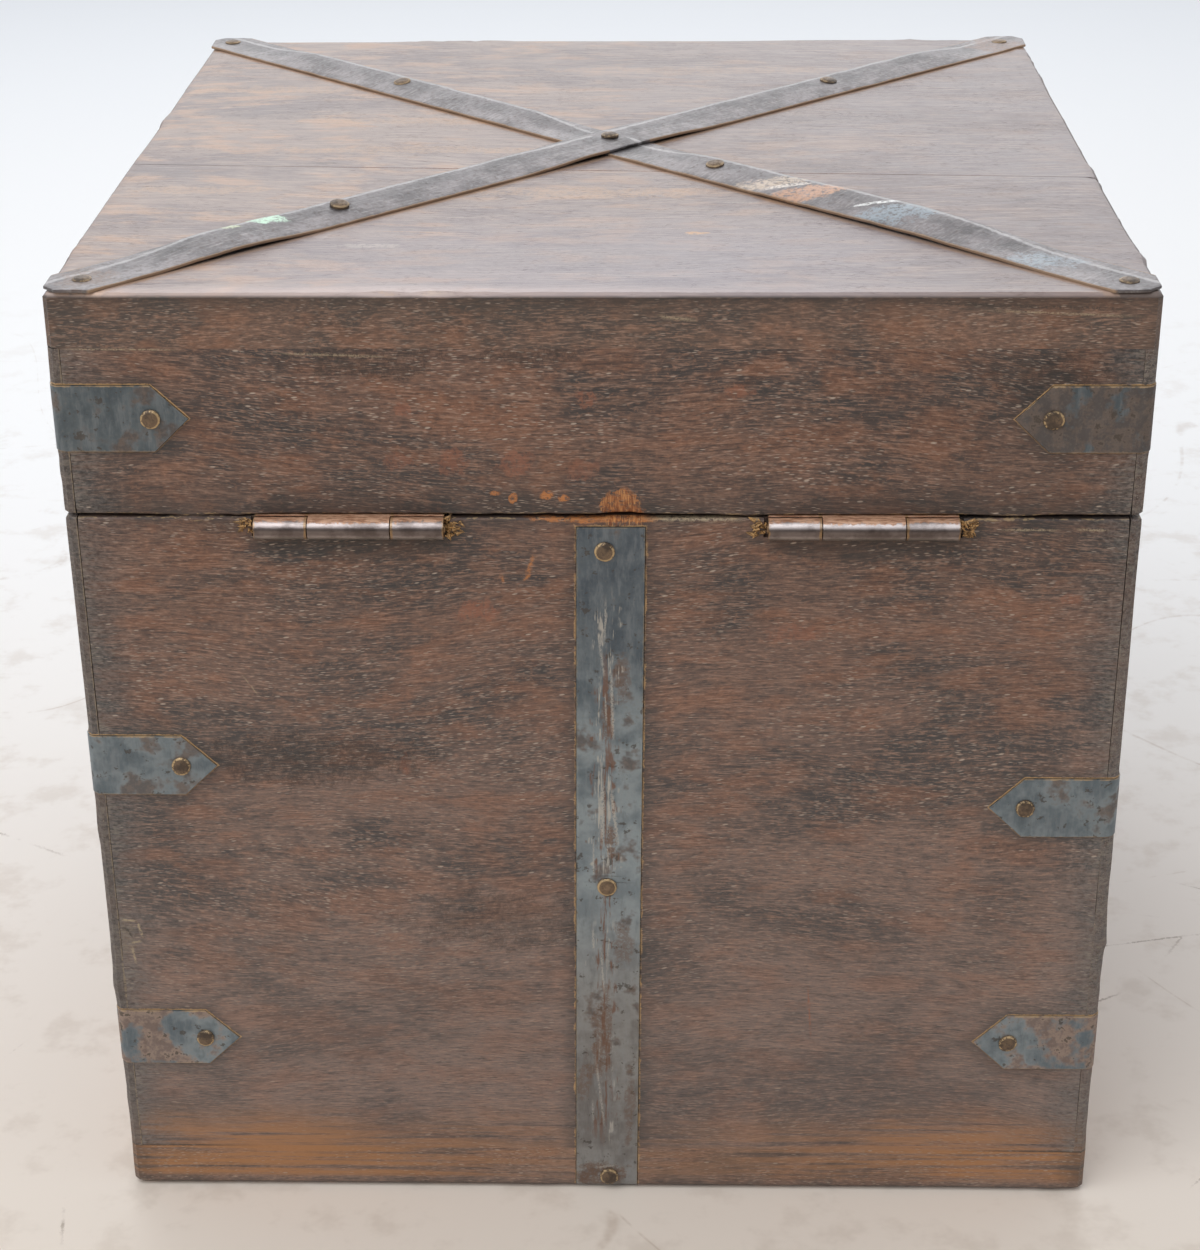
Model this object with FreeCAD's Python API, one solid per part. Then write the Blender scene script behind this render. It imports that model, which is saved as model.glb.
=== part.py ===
"""Square wooden chest, iron strapped, with a tray lid on two butt hinges and a hasp on the front.

Frame: millimetres, +Z up, origin on the floor at the middle of the chest. The front, with its hasp,
faces -Y, the hinges are on the +Y side, and +X is on the right of someone who stands at the front.
"""

import FreeCAD, Part
import math
import os

Vector = FreeCAD.Vector
X_AXIS, Y_AXIS, Z_AXIS = Vector(1, 0, 0), Vector(0, 1, 0), Vector(0, 0, 1)
ORIGIN = Vector(0, 0, 0)

# ---------------------------------------------------------------- the wooden box
chest_width = 290.0            # along X
chest_depth = 290.0            # along Y
body_height = 223.0            # floor to rim
lid_height = 62.2              # underside of the lid to the top of its planks
seam_gap = 0.8                 # between rim and lid when shut
wall_thickness = 15.0          # front, back and side boards, and the rails of the lid
plank_thickness = 15.0         # planks of the top and of the bottom
rebate_lip = 3.5               # what a side board's rebate leaves outside the board let into it
wood_joint_gap = 0.1           # between the boards of a joint
plank_joint_gap = 0.3          # the open line between two planks
top_joint_right = 21.0         # Y of the joint of the top planks at their right end
top_joint_left = 36.5          # and at their left end, because the planks were sawn tapered
bottom_joint = -24.0           # Y of the joint of the bottom planks
corner_arris = 1.5             # worn bevel of the upright corners
foot_arris = 1.8               # the same round the bottom
top_arris = 1.2                # round the top
rim_arris = 0.6                # and on both sides of the seam

# ---------------------------------------------------------------- flat iron straps
strap_width = 18.5
strap_thickness = 1.2
strap_proud = 0.5              # how far a strap stands out of the housing it is let into
strap_bend = 3.5               # outer radius where a strap turns a corner
housing_clearance = 0.2        # round the edge of a strap in its housing
strap_reach = 36.0             # corner of the chest to the tip of a corner strap
strap_shoulder = 26.5          # corner of the chest to where the point begins
strap_nail_inset = 26.0        # corner of the chest to the nail
lid_strap_height = 251.5       # floor to the middle of the lid's corner straps
upper_strap_height = 147.0     # the same, for the upper ones of the body
upper_strap_left_drop = 12.5   # how much lower the upper ones of the left side were nailed
lower_strap_height = 54.8
centre_strap_foot_x = -0.1     # middle of the centre strap under the bottom and up the front
centre_strap_top_x = -2.6      # and at its upper end on the back, because it was nailed on leaning
centre_strap_drop = 2.6        # rim down to the two ends of the centre strap
centre_nail_x = -0.9
back_strap_nails = (213.5, 108.0, 5.0)
front_strap_nails = (108.0, 5.0)

# ---------------------------------------------------------------- nails
nail_head_radius = 2.8         # to the corners of its hammered outline
nail_head_height = 1.2
nail_head_rim = 0.45           # height of the edge of a head
nail_crown_radius = 1.7        # where the sloping rim of a head meets its flat top
nail_head_sides = 8
nail_width = 2.0               # of the square shank, under the head
nail_tip_width = 0.5
nail_length = 12.5
nail_clearance = 0.05          # round a shank, for staples too

# ---------------------------------------------------------------- hollow straps across the top
cross_width = 18.0
cross_thickness = 1.2
cross_camber = 2.1             # rise of the hollow under a strap
cross_end_camber = 0.15        # what is left of it where a strap is hammered down
cross_over_camber = 1.05       # and where the upper strap passes over the lower one
cross_overhang = 0.5           # past the edge of the top, at the corners
cross_clearance = 0.15         # between the two straps where one crosses the other
cross_end_flat = 27.0          # from the corner of the top inwards, hammered flat
cross_end_taper = 55.0         # from the corner to where the flattening begins
crossing_half = 13.5           # from the middle of the top, the length shaped for the crossing
crossing_shoulder = 42.0       # where the full hollow begins again
cross_flats = 6                # hammered flats across the hollow
over_nails_back = (13.0, 99.0)     # nails of the upper strap, from its corner at the hinges
over_nails_front = (13.0, 104.0)   # and from its corner at the front; one more is in the middle
under_nails_back = (11.0, 160.0)   # the same for the strap under it, which has none in the middle
under_nails_front = (10.0, 105.0)
over_bow_place = 55.0          # from its corner at the hinges, where the upper strap has sprung up
over_bow_rise = 0.9
under_bow_place = 83.0
under_bow_rise = 1.2

# ---------------------------------------------------------------- hinges
hinge_right_x = 67.7           # X of the middle of each hinge
hinge_left_x = -70.3
hinge_length = 51.0
hinge_end_knuckle = 14.2
hinge_knuckle_gap = 0.3
hinge_eye_radius = 3.0
hinge_pin_radius = 1.25
hinge_pin_clearance = 0.08
hinge_pin_peen = 0.4           # how far the pin stands out of each end
hinge_leaf_thickness = 1.0
hinge_leaf_width = 12.0
hinge_leaf_gap = 0.1           # between the two leaves when shut
hinge_out = 2.0                # pin outside the back of the chest
hinge_swing_clearance = 0.3    # a leaf or the wood, clear of the other leaf's knuckles
hinge_pocket_end = 1.2         # room in the wood past each end of the knuckles
leaf_nail_pitch = 18.0
leaf_nail_inset = 6.0          # from the inner edge of a leaf
leaf_nail_head_radius = 2.2
leaf_nail_head_depth = 0.8
leaf_nail_radius = 1.1
leaf_nail_tip = 3.0
leaf_nail_tip_radius = 0.6
leaf_nail_length = 10.0
leaf_nail_sides = 8

# ---------------------------------------------------------------- hasp and staples
wire_radius = 1.75             # to the corners of the hammered wire
wire_sides = 8
staple_bend = 3.0              # radius of the wire's own line at a bend
staple_bend_flats = 3          # straight pieces that a bend was hammered in
staple_end_cover = 1.5         # wood left beyond the legs of a staple
staple_point = 3.0
staple_point_radius = 0.6
hasp_x = -1.0                  # middle of the hasp and of its two staples
hasp_pivot_rise = 8.2          # above the underside of the lid
hasp_pivot_out = 4.7           # outside the front of the chest
lock_staple_legs = 10.0        # leg to leg, upright
lock_staple_drop = 35.0        # below the pivot
lock_staple_out = 15.0         # outside the front of the chest
hasp_thickness = 1.8
hasp_length = 51.0             # pivot to tip
hasp_eye_clearance = 0.3
hasp_neck_width = 8.0          # as wide as the straight nose of its staple
hasp_neck_length = 11.0
hasp_slot_width = 6.0
hasp_slot_length = 17.5
hasp_point = 7.0
hasp_tip_width = 4.0
hasp_curl = 2.5                # how far the tip turns away from the chest
hasp_curl_start = 44.0
hasp_rest_gap = 0.3            # tip of the hasp to the lid when it is thrown up

# ---------------------------------------------------------------- places worked out from the sizes
half_width = chest_width / 2
half_depth = chest_depth / 2
rim = body_height
lid_underside = rim + seam_gap
top = lid_underside + lid_height
lid_rail_top = top - plank_thickness
hinge_y = half_depth + hinge_out
hinge_z = lid_underside - hinge_eye_radius
hasp_y = -half_depth - hasp_pivot_out
hasp_z = lid_underside + hasp_pivot_rise
staple_depth = wall_thickness - staple_end_cover
corner_run = math.hypot(half_width, half_depth)      # middle of the top to its corner
corner_housing = strap_bend + corner_arris + strap_thickness     # tool radius, clear of the corner
foot_housing = strap_bend + foot_arris + strap_thickness
centre_strap_end = rim - centre_strap_drop
leaf_notch = (hinge_eye_radius + hinge_swing_clearance) / 2      # into a leaf, beside knuckles
hasp_eye_bore = wire_radius + hasp_eye_clearance
hasp_eye_radius = hasp_eye_bore + hasp_thickness
strap_face_y = half_depth + strap_proud      # the heads of nails lie on the face of the strap
strap_face_x = half_width + strap_proud
hasp_staple_legs = hasp_neck_width + 2 * staple_bend
hasp_lean = math.degrees(
    math.asin((hasp_pivot_out + hasp_eye_bore - hasp_curl - hasp_rest_gap) / hasp_length)
)
hasp_swing = 180.0 + hasp_lean
spare = 1.0                    # how far a cutting tool runs past what it cuts
CORNERS = {
    "back_right": (1, 1), "back_left": (-1, 1), "front_right": (1, -1), "front_left": (-1, -1),
}


# ---------------------------------------------------------------- shapes used more than once
def block(x0, x1, y0, y1, z0, z1):
    """A box between two corners."""
    return Part.makeBox(x1 - x0, y1 - y0, z1 - z0, Vector(x0, y0, z0))


def flat_face(points):
    """The face inside a closed outline of straight lines."""
    return Part.Face(Part.makePolygon(points + points[:1]))


def plate(points, extrusion):
    """A flat outline made solid along a vector."""
    return flat_face(points).extrude(extrusion)


def upright_edges(case):
    """The edges of a shape that stand upright."""
    return [edge for edge in case.Edges if abs(edge.tangentAt(edge.FirstParameter).z) > 0.9]


def cut_away(shape, tools):
    """shape less those tools that reach it."""
    near = [tool for tool in tools if shape.BoundBox.intersect(tool.BoundBox)]
    return shape.cut(near) if near else shape


def aimed(shape, spot, outward):
    """shape, made along +Z at the origin, turned to point outward and moved to spot."""
    turned = shape.copy()
    turned.Placement = FreeCAD.Placement(spot, FreeCAD.Rotation(Z_AXIS, outward))
    return turned


def along(spot, outward, distance):
    """The point a distance from spot in a direction."""
    return spot + Vector(outward).multiply(distance)


# ---------------------------------------------------------------- nails
def ring(radius, height, sides):
    """The corners of a regular outline round the Z axis, radius to a corner."""
    turns = [math.pi * (2 * n + 1) / sides for n in range(sides)]
    return [Vector(radius * math.cos(t), radius * math.sin(t), height) for t in turns]


def flat_sided(rings):
    """A solid with flat sides through rings of the same number of corners."""
    faces = [flat_face(rings[0]), flat_face(rings[-1])]
    for low, high in zip(rings, rings[1:]):
        for n in range(len(low)):
            faces.append(flat_face([low[n - 1], low[n], high[n], high[n - 1]]))
    solid = Part.makeSolid(Part.makeShell(faces))
    return solid if solid.Volume > 0 else solid.reversed()


def stack(rings):
    """A flat-sided solid round the Z axis. Each ring is (radius, height, sides)."""
    return flat_sided([ring(*each) for each in rings])


def shank(grow, above):
    """The square, tapering shank of a strap nail, grown all round, that starts above the XY plane."""
    corner = math.sqrt(2)
    return stack([
        (corner * (nail_width / 2 + grow), above, 4),
        (corner * (nail_width / 2 + grow), 0, 4),
        (corner * (nail_tip_width / 2 + grow), -nail_length - grow, 4),
    ])


def strap_nail():
    """A hand-made nail with a low faceted head. Its head sits on the XY plane."""
    head = stack([
        (nail_head_radius, 0, nail_head_sides),
        (nail_head_radius, nail_head_rim, nail_head_sides),
        (nail_crown_radius, nail_head_height, nail_head_sides),
    ])
    return head.fuse(shank(0, nail_head_rim)).removeSplitter()


def leaf_nail(grow):
    """A nail whose cone-shaped head finishes flush with a hinge leaf, at the XY plane."""
    return stack([
        (leaf_nail_head_radius + grow, 0, leaf_nail_sides),
        (leaf_nail_radius + grow, -leaf_nail_head_depth, leaf_nail_sides),
        (leaf_nail_radius + grow, leaf_nail_tip - leaf_nail_length, leaf_nail_sides),
        (leaf_nail_tip_radius + grow, -leaf_nail_length - grow, leaf_nail_sides),
    ])


def shank_hole(spot, outward):
    """The hole that a nail's shank goes into, open from above the strap."""
    return aimed(shank(nail_clearance, spare), spot, outward)


def leaf_nail_hole(spot, outward):
    """The countersunk hole for a hinge nail."""
    return aimed(leaf_nail(nail_clearance), spot, outward)


# ---------------------------------------------------------------- flat straps
def corner_wrap(outer_radius, half_height, reach, shoulder):
    """Sheet wrapped round the back right corner of the chest, pointed at both ends, at height 0.

    Its inner face is where a strap's is, and outer_radius says how far out it goes.
    """
    inner_radius = strap_bend - strap_thickness
    centre = Vector(strap_face_x - strap_bend, strap_face_y - strap_bend, -half_height)
    corner = Part.makeCylinder(outer_radius, 2 * half_height, centre, Z_AXIS, 90)
    corner = corner.cut(Part.makeCylinder(inner_radius, 2 * half_height, centre, Z_AXIS))
    sheet = outer_radius - inner_radius
    back_leg = plate([
        Vector(centre.x, centre.y + inner_radius, -half_height),
        Vector(half_width - shoulder, centre.y + inner_radius, -half_height),
        Vector(half_width - reach, centre.y + inner_radius, 0),
        Vector(half_width - shoulder, centre.y + inner_radius, half_height),
        Vector(centre.x, centre.y + inner_radius, half_height),
    ], Y_AXIS * sheet)
    side_leg = plate([
        Vector(centre.x + inner_radius, centre.y, -half_height),
        Vector(centre.x + inner_radius, half_depth - shoulder, -half_height),
        Vector(centre.x + inner_radius, half_depth - reach, 0),
        Vector(centre.x + inner_radius, half_depth - shoulder, half_height),
        Vector(centre.x + inner_radius, centre.y, half_height),
    ], X_AXIS * sheet)
    return corner.fuse([back_leg, side_leg]).removeSplitter()


def to_corner(shape, side, height):
    """shape, made at the back right corner and height 0, moved to another corner and height."""
    placed = shape
    if side[0] < 0:
        placed = placed.mirror(ORIGIN, X_AXIS)
    if side[1] < 0:
        placed = placed.mirror(ORIGIN, Y_AXIS)
    return placed.translated(Vector(0, 0, height))


def corner_nail_spots(side, height):
    """Where a corner strap's two nails sit, each with its outward direction."""
    back = Vector(side[0] * (half_width - strap_nail_inset), side[1] * strap_face_y, height)
    flank = Vector(side[0] * strap_face_x, side[1] * (half_depth - strap_nail_inset), height)
    return [(back, Y_AXIS * side[1]), (flank, X_AXIS * side[0])]


def centre_band(outer_radius, half_band, upper_end):
    """Sheet that leans down the back, and runs under the bottom and up the front. It is flush below."""
    inner_radius = strap_bend - strap_thickness
    turn = strap_face_y - strap_bend

    def half_turn(radius, side):
        diagonal = radius / math.sqrt(2)
        return Part.Arc(
            Vector(0, side * (turn + radius), strap_bend),
            Vector(0, side * (turn + diagonal), strap_bend - diagonal),
            Vector(0, side * turn, strap_bend - radius),
        ).toShape()

    def line(y0, z0, y1, z1):
        return Part.makeLine(Vector(0, y0, z0), Vector(0, y1, z1))

    outside, inside = turn + outer_radius, turn + inner_radius
    edges = [
        line(outside, upper_end, outside, strap_bend),
        half_turn(outer_radius, 1),
        line(turn, strap_bend - outer_radius, -turn, strap_bend - outer_radius),
        half_turn(outer_radius, -1),
        line(-outside, strap_bend, -outside, upper_end),
        line(-outside, upper_end, -inside, upper_end),
        line(-inside, upper_end, -inside, strap_bend),
        half_turn(inner_radius, -1),
        line(-turn, strap_bend - inner_radius, turn, strap_bend - inner_radius),
        half_turn(inner_radius, 1),
        line(inside, strap_bend, inside, upper_end),
        line(inside, upper_end, outside, upper_end),
    ]
    outline = Part.Face(Part.Wire(Part.__sortEdges__(edges)))
    left, right = centre_strap_foot_x - half_band, centre_strap_foot_x + half_band
    lean = centre_strap_top_x - centre_strap_foot_x
    lean_at_rim = lean * (rim - strap_bend) / (centre_strap_end - strap_bend)
    sheet = outline.extrude(X_AXIS * (right - left + 2 * abs(lean_at_rim)))
    sheet = sheet.translated(Vector(left - abs(lean_at_rim), 0, 0))
    back_track = plate([
        Vector(left, 0, -foot_housing), Vector(left, 0, strap_bend), Vector(left + lean_at_rim, 0, rim),
        Vector(right + lean_at_rim, 0, rim), Vector(right, 0, strap_bend), Vector(right, 0, -foot_housing),
    ], Y_AXIS * chest_depth)
    front_track = block(left, right, -chest_depth, 0, -foot_housing, rim)
    return sheet.common(back_track.fuse(front_track)).removeSplitter()


# ---------------------------------------------------------------- hollow straps across the top
def shape_along(stations, distance):
    """Lift and camber of a cross strap at a distance from the middle, between its stations."""
    for (s0, lift0, camber0), (s1, lift1, camber1) in zip(stations, stations[1:]):
        if s0 <= distance <= s1:
            share = (distance - s0) / (s1 - s0)
            return lift0 + share * (lift1 - lift0), camber0 + share * (camber1 - camber0)
    raise ValueError("that distance is past the end of the strap")


def cross_strap(stations, side):
    """A hollow strap from corner to corner. side is 1 if its hinge end is on the right."""
    forward = Vector(side, 1, 0).normalize()
    sideways = Vector(-1, side, 0).normalize()
    half = cross_width / 2

    def spot(distance, across, height):
        return along(along(Vector(0, 0, top + height), forward, distance), sideways, across)

    def section(distance, lift, camber):
        rows = [half * (2 * n / cross_flats - 1) for n in range(cross_flats + 1)]
        inside = [spot(distance, row, lift + camber * (1 - (row / half) ** 2)) for row in rows]
        outside = [point + Z_AXIS * cross_thickness for point in reversed(inside)]
        return Part.makePolygon(inside + outside + inside[:1])

    spans = []
    for near, far in zip(stations, stations[1:]):
        if near[2] == far[2]:
            run = spot(far[0], 0, far[1]) - spot(near[0], 0, near[1])
            spans.append(Part.Face(section(*near)).extrude(run))
        else:
            spans.append(Part.makeLoft([section(*near), section(*far)], True, True))
    long_strap = spans[0].fuse(spans[1:])
    edge_x, edge_y = half_width + cross_overhang, half_depth + cross_overhang
    ends = block(-edge_x, edge_x, -edge_y, edge_y, top, top + cross_width)
    return long_strap.common(ends.makeChamfer(corner_arris + cross_overhang, upright_edges(ends)))


def cross_stations(lift, camber, bow_place, bow_rise):
    """Stations (distance, lift, camber) of a strap: flat ends, hollow runs, crossing and sprung place."""
    end = math.hypot(half_width + cross_overhang, half_depth + cross_overhang) + spare
    return [
        (-end, 0.0, cross_end_camber),
        (cross_end_flat - corner_run, 0.0, cross_end_camber),
        (cross_end_taper - corner_run, 0.0, cross_camber),
        (-crossing_shoulder, 0.0, cross_camber),
        (-crossing_half, lift, camber),
        (crossing_half, lift, camber),
        (crossing_shoulder, 0.0, cross_camber),
        (corner_run - bow_place, bow_rise, cross_camber),
        (corner_run - cross_end_flat, 0.0, cross_end_camber),
        (end, 0.0, cross_end_camber),
    ]


under_stations = cross_stations(0.0, cross_end_camber, under_bow_place, under_bow_rise)
over_lift = cross_thickness + cross_end_camber + cross_clearance
over_stations = cross_stations(over_lift, cross_over_camber, over_bow_place, over_bow_rise)


def cross_nail_spots(stations, back, front, middle, side):
    """Where the nails of a cross strap sit: on its crown, on the higher side where the crown slopes."""
    forward = Vector(side, 1, 0).normalize()
    distances = [corner_run - inset for inset in back] + [inset - corner_run for inset in front] + middle
    spots = []
    for distance in distances:
        under_head = (distance - nail_head_radius, distance, distance + nail_head_radius)
        crown = top + cross_thickness + max(sum(shape_along(stations, d)) for d in under_head)
        spots.append((along(Vector(0, 0, crown), forward, distance), Z_AXIS))
    return spots


# ---------------------------------------------------------------- hinges
def barrel(x0, x1, radius):
    """A cylinder about the hinge pin's line."""
    return Part.makeCylinder(radius, x1 - x0, Vector(x0, hinge_y, hinge_z), X_AXIS)


def knuckle_spans(middle):
    """X of the ends of the first, second and third knuckle of a hinge."""
    start, end = middle - hinge_length / 2, middle + hinge_length / 2
    return [
        (start, start + hinge_end_knuckle),
        (start + hinge_end_knuckle + hinge_knuckle_gap, end - hinge_end_knuckle - hinge_knuckle_gap),
        (end - hinge_end_knuckle, end),
    ]


def hinge_leaf(middle, leaf_bottom, own, others, nail_side):
    """A leaf with its own knuckles rolled round the pin, cut back where the other leaf has its own."""
    leaf = block(
        middle - hinge_length / 2, middle + hinge_length / 2,
        half_depth - hinge_leaf_width, hinge_y, leaf_bottom, leaf_bottom + hinge_leaf_thickness,
    )
    clear = hinge_eye_radius + hinge_swing_clearance
    leaf = leaf.cut([
        barrel(x0 - hinge_knuckle_gap, x1 + hinge_knuckle_gap, clear) for x0, x1 in others
    ])
    leaf = leaf.cut([
        block(x0 - hinge_knuckle_gap, x1 + hinge_knuckle_gap, hinge_y - leaf_notch, hinge_y + clear,
              leaf_bottom - clear, leaf_bottom + clear)
        for x0, x1 in others
    ])
    leaf = leaf.fuse([barrel(x0, x1, hinge_eye_radius) for x0, x1 in own])
    leaf = leaf.cut(
        barrel(middle - hinge_length, middle + hinge_length, hinge_pin_radius + hinge_pin_clearance)
    )
    leaf = cut_away(leaf, [leaf_nail_hole(spot, outward) for spot, outward in nail_side])
    return leaf.removeSplitter()


lid_leaf_bottom = lid_underside - hinge_leaf_thickness
body_leaf_bottom = lid_leaf_bottom - hinge_leaf_gap - hinge_leaf_thickness


def leaf_nail_places(middle, height, outward):
    """Where the nails of a hinge leaf sit."""
    y = half_depth - hinge_leaf_width + leaf_nail_inset
    return [(Vector(middle + n * leaf_nail_pitch, y, height), outward) for n in (-1, 0, 1)]


def hinge_pin(middle):
    """The pin, with both ends hammered over a little past the knuckles."""
    half = hinge_length / 2 + hinge_pin_peen
    pin = barrel(middle - half, middle + half, hinge_pin_radius)
    return pin.makeChamfer(hinge_pin_peen / 2, pin.Edges)


def hinge_pocket(middle):
    """What is cut out of the rim for a hinge: a bed for its leaf and room for its knuckles."""
    half = hinge_length / 2
    bed = block(
        middle - half - wood_joint_gap, middle + half + wood_joint_gap,
        half_depth - hinge_leaf_width - wood_joint_gap, hinge_y, body_leaf_bottom, rim + spare,
    )
    clear = hinge_eye_radius + hinge_swing_clearance
    room = block(
        middle - half - hinge_pocket_end, middle + half + hinge_pocket_end,
        hinge_y - clear, hinge_y, hinge_z - clear, rim + spare,
    )
    return bed.fuse(room)


# ---------------------------------------------------------------- hasp and staples
def bent_wire(path):
    """Hammered wire along points in the YZ plane: flat sides, mitred bends and a point at each end."""
    runs = [(end - start).normalize() for start, end in zip(path, path[1:])]
    turn = FreeCAD.Rotation(Z_AXIS, runs[0])
    sections = [[path[1] + turn.multVec(corner) for corner in ring(wire_radius, 0, wire_sides)]]
    for spot, before, after in zip(path[2:-1], runs[1:], runs[2:]):
        mitre = before + after
        sections.append([
            along(corner, before, (spot - corner).dot(mitre) / before.dot(mitre))
            for corner in sections[-1]
        ])
    share = staple_point_radius / wire_radius
    tips = [
        [tip + (corner - shoulder) * share for corner in section]
        for tip, shoulder, section in ((path[0], path[1], sections[0]), (path[-1], path[-2], sections[-1]))
    ]
    return flat_sided([tips[0]] + sections + [tips[1]])


def staple(leg_gap, out, depth):
    """A wire staple in the YZ plane. Its legs are level, leg_gap apart, and go depth into the front."""
    nose = -(half_depth + out - wire_radius)
    tip = -(half_depth - depth)
    inner = leg_gap / 2 - staple_bend
    path = [Vector(0, tip, leg_gap / 2), Vector(0, tip - staple_point, leg_gap / 2)]
    for n in range(staple_bend_flats + 1):
        turn = math.pi / 2 * n / staple_bend_flats
        path.append(Vector(
            0, nose + staple_bend * (1 - math.sin(turn)), inner + staple_bend * math.cos(turn)
        ))
    mirrored = [Vector(0, point.y, -point.z) for point in reversed(path)]
    return bent_wire(path + mirrored)


def staple_holes(leg_gap, depth):
    """The two holes for a staple's legs, in the YZ plane."""
    length = spare + strap_proud + depth + nail_clearance
    radius = wire_radius + nail_clearance
    hole = stack([(radius, 0, wire_sides), (radius, length, wire_sides)])
    return [
        aimed(hole, Vector(0, -(strap_face_y + spare), side * leg_gap / 2), Y_AXIS) for side in (1, -1)
    ]


def at_hasp(shape, drop, level):
    """shape, made for a staple on the YZ plane, moved to the front. level lays it on its side."""
    placed = shape.copy()
    if level:
        placed.rotate(ORIGIN, Y_AXIS, 90)
    return placed.translated(Vector(hasp_x, 0, hasp_z - drop))


def hasp():
    """The hasp as it hangs, shut over the lock staple, with its pivot at the origin."""
    inner, outer = hasp_eye_bore, hasp_eye_radius
    eye = Part.makeCylinder(outer, strap_width, Vector(-strap_width / 2, 0, 0), X_AXIS)
    bore = Part.makeCylinder(inner, 2 * strap_width, Vector(-strap_width, 0, 0), X_AXIS)
    sheet = plate([
        Vector(-strap_width / 2, outer, 0),
        Vector(-strap_width / 2, outer, -hasp_curl_start),
        Vector(-strap_width / 2, outer - hasp_curl, -hasp_length),
        Vector(-strap_width / 2, inner - hasp_curl, -hasp_length),
        Vector(-strap_width / 2, inner, -hasp_curl_start),
        Vector(-strap_width / 2, inner, 0),
    ], X_AXIS * strap_width)
    profile = eye.fuse(sheet).cut(bore)

    half, neck, tip = strap_width / 2, hasp_neck_width / 2, hasp_tip_width / 2
    outline = plate([
        Vector(-neck, -2 * outer, outer),
        Vector(-neck, -2 * outer, -hasp_neck_length),
        Vector(-half, -2 * outer, -hasp_neck_length - (half - neck)),
        Vector(-half, -2 * outer, -hasp_length + hasp_point),
        Vector(-tip, -2 * outer, -hasp_length),
        Vector(tip, -2 * outer, -hasp_length),
        Vector(half, -2 * outer, -hasp_length + hasp_point),
        Vector(half, -2 * outer, -hasp_neck_length - (half - neck)),
        Vector(neck, -2 * outer, -hasp_neck_length),
        Vector(neck, -2 * outer, outer),
    ], Y_AXIS * (4 * outer))
    slot_half = hasp_slot_width / 2
    straight = hasp_slot_length / 2 - slot_half
    slot = block(-slot_half, slot_half, -outer, 2 * outer,
                 -lock_staple_drop - straight, -lock_staple_drop + straight)
    slot = slot.fuse([
        Part.makeCylinder(slot_half, 3 * outer, Vector(0, -outer, -lock_staple_drop + end), Y_AXIS)
        for end in (-straight, straight)
    ])
    return profile.common(outline).cut(slot).removeSplitter()


def thrown_up(shape):
    """The hasp at rest: swung up until its tip leans on the lid, and moved to its pivot."""
    placed = shape.copy()
    placed.rotate(ORIGIN, X_AXIS, -hasp_swing)
    return placed.translated(Vector(hasp_x, hasp_y, hasp_z))


# ---------------------------------------------------------------- the wooden parts
def worn_case(bottom, height):
    """The whole outside of the body or of the lid, with its upright corners worn."""
    case = block(-half_width, half_width, -half_depth, half_depth, bottom, bottom + height)
    return case.makeChamfer(corner_arris, upright_edges(case))


def edges_at(case, level):
    """The edges round a case at a height."""
    return [e for e in case.Edges if abs(e.CenterOfMass.z - level) < 0.001]


def wall_boards(bottom, height):
    """Front, back and two side boards. The ends of the side boards are rebated for the other two."""
    inner_y, inner_x = half_depth - wall_thickness, half_width - wall_thickness
    long_half = half_width - rebate_lip - wood_joint_gap
    boards = {
        "back": block(-long_half, long_half, inner_y, half_depth, bottom, bottom + height),
        "front": block(-long_half, long_half, -half_depth, -inner_y, bottom, bottom + height),
    }
    for name, side in (("right", 1), ("left", -1)):
        x0, x1 = sorted((side * inner_x, side * half_width))
        board = block(x0, x1, -half_depth, half_depth, bottom, bottom + height)
        r0, r1 = sorted((side * inner_x, side * (half_width - rebate_lip)))
        shelf = inner_y - wood_joint_gap
        board = board.cut([
            block(r0, r1, shelf, half_depth, bottom, bottom + height),
            block(r0, r1, -half_depth, -shelf, bottom, bottom + height),
        ])
        boards[name] = board
    return boards


def plank_pair(bottom, right_y, left_y):
    """Two planks side by side, back and front, that meet on a line which may slant."""
    def plank(edge_y, outer_y):
        return plate([
            Vector(half_width, edge_y(right_y), bottom),
            Vector(half_width, outer_y, bottom),
            Vector(-half_width, outer_y, bottom),
            Vector(-half_width, edge_y(left_y), bottom),
        ], Z_AXIS * plank_thickness)

    return {
        "back": plank(lambda y: y + plank_joint_gap / 2, half_depth),
        "front": plank(lambda y: y - plank_joint_gap / 2, -half_depth),
    }


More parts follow.
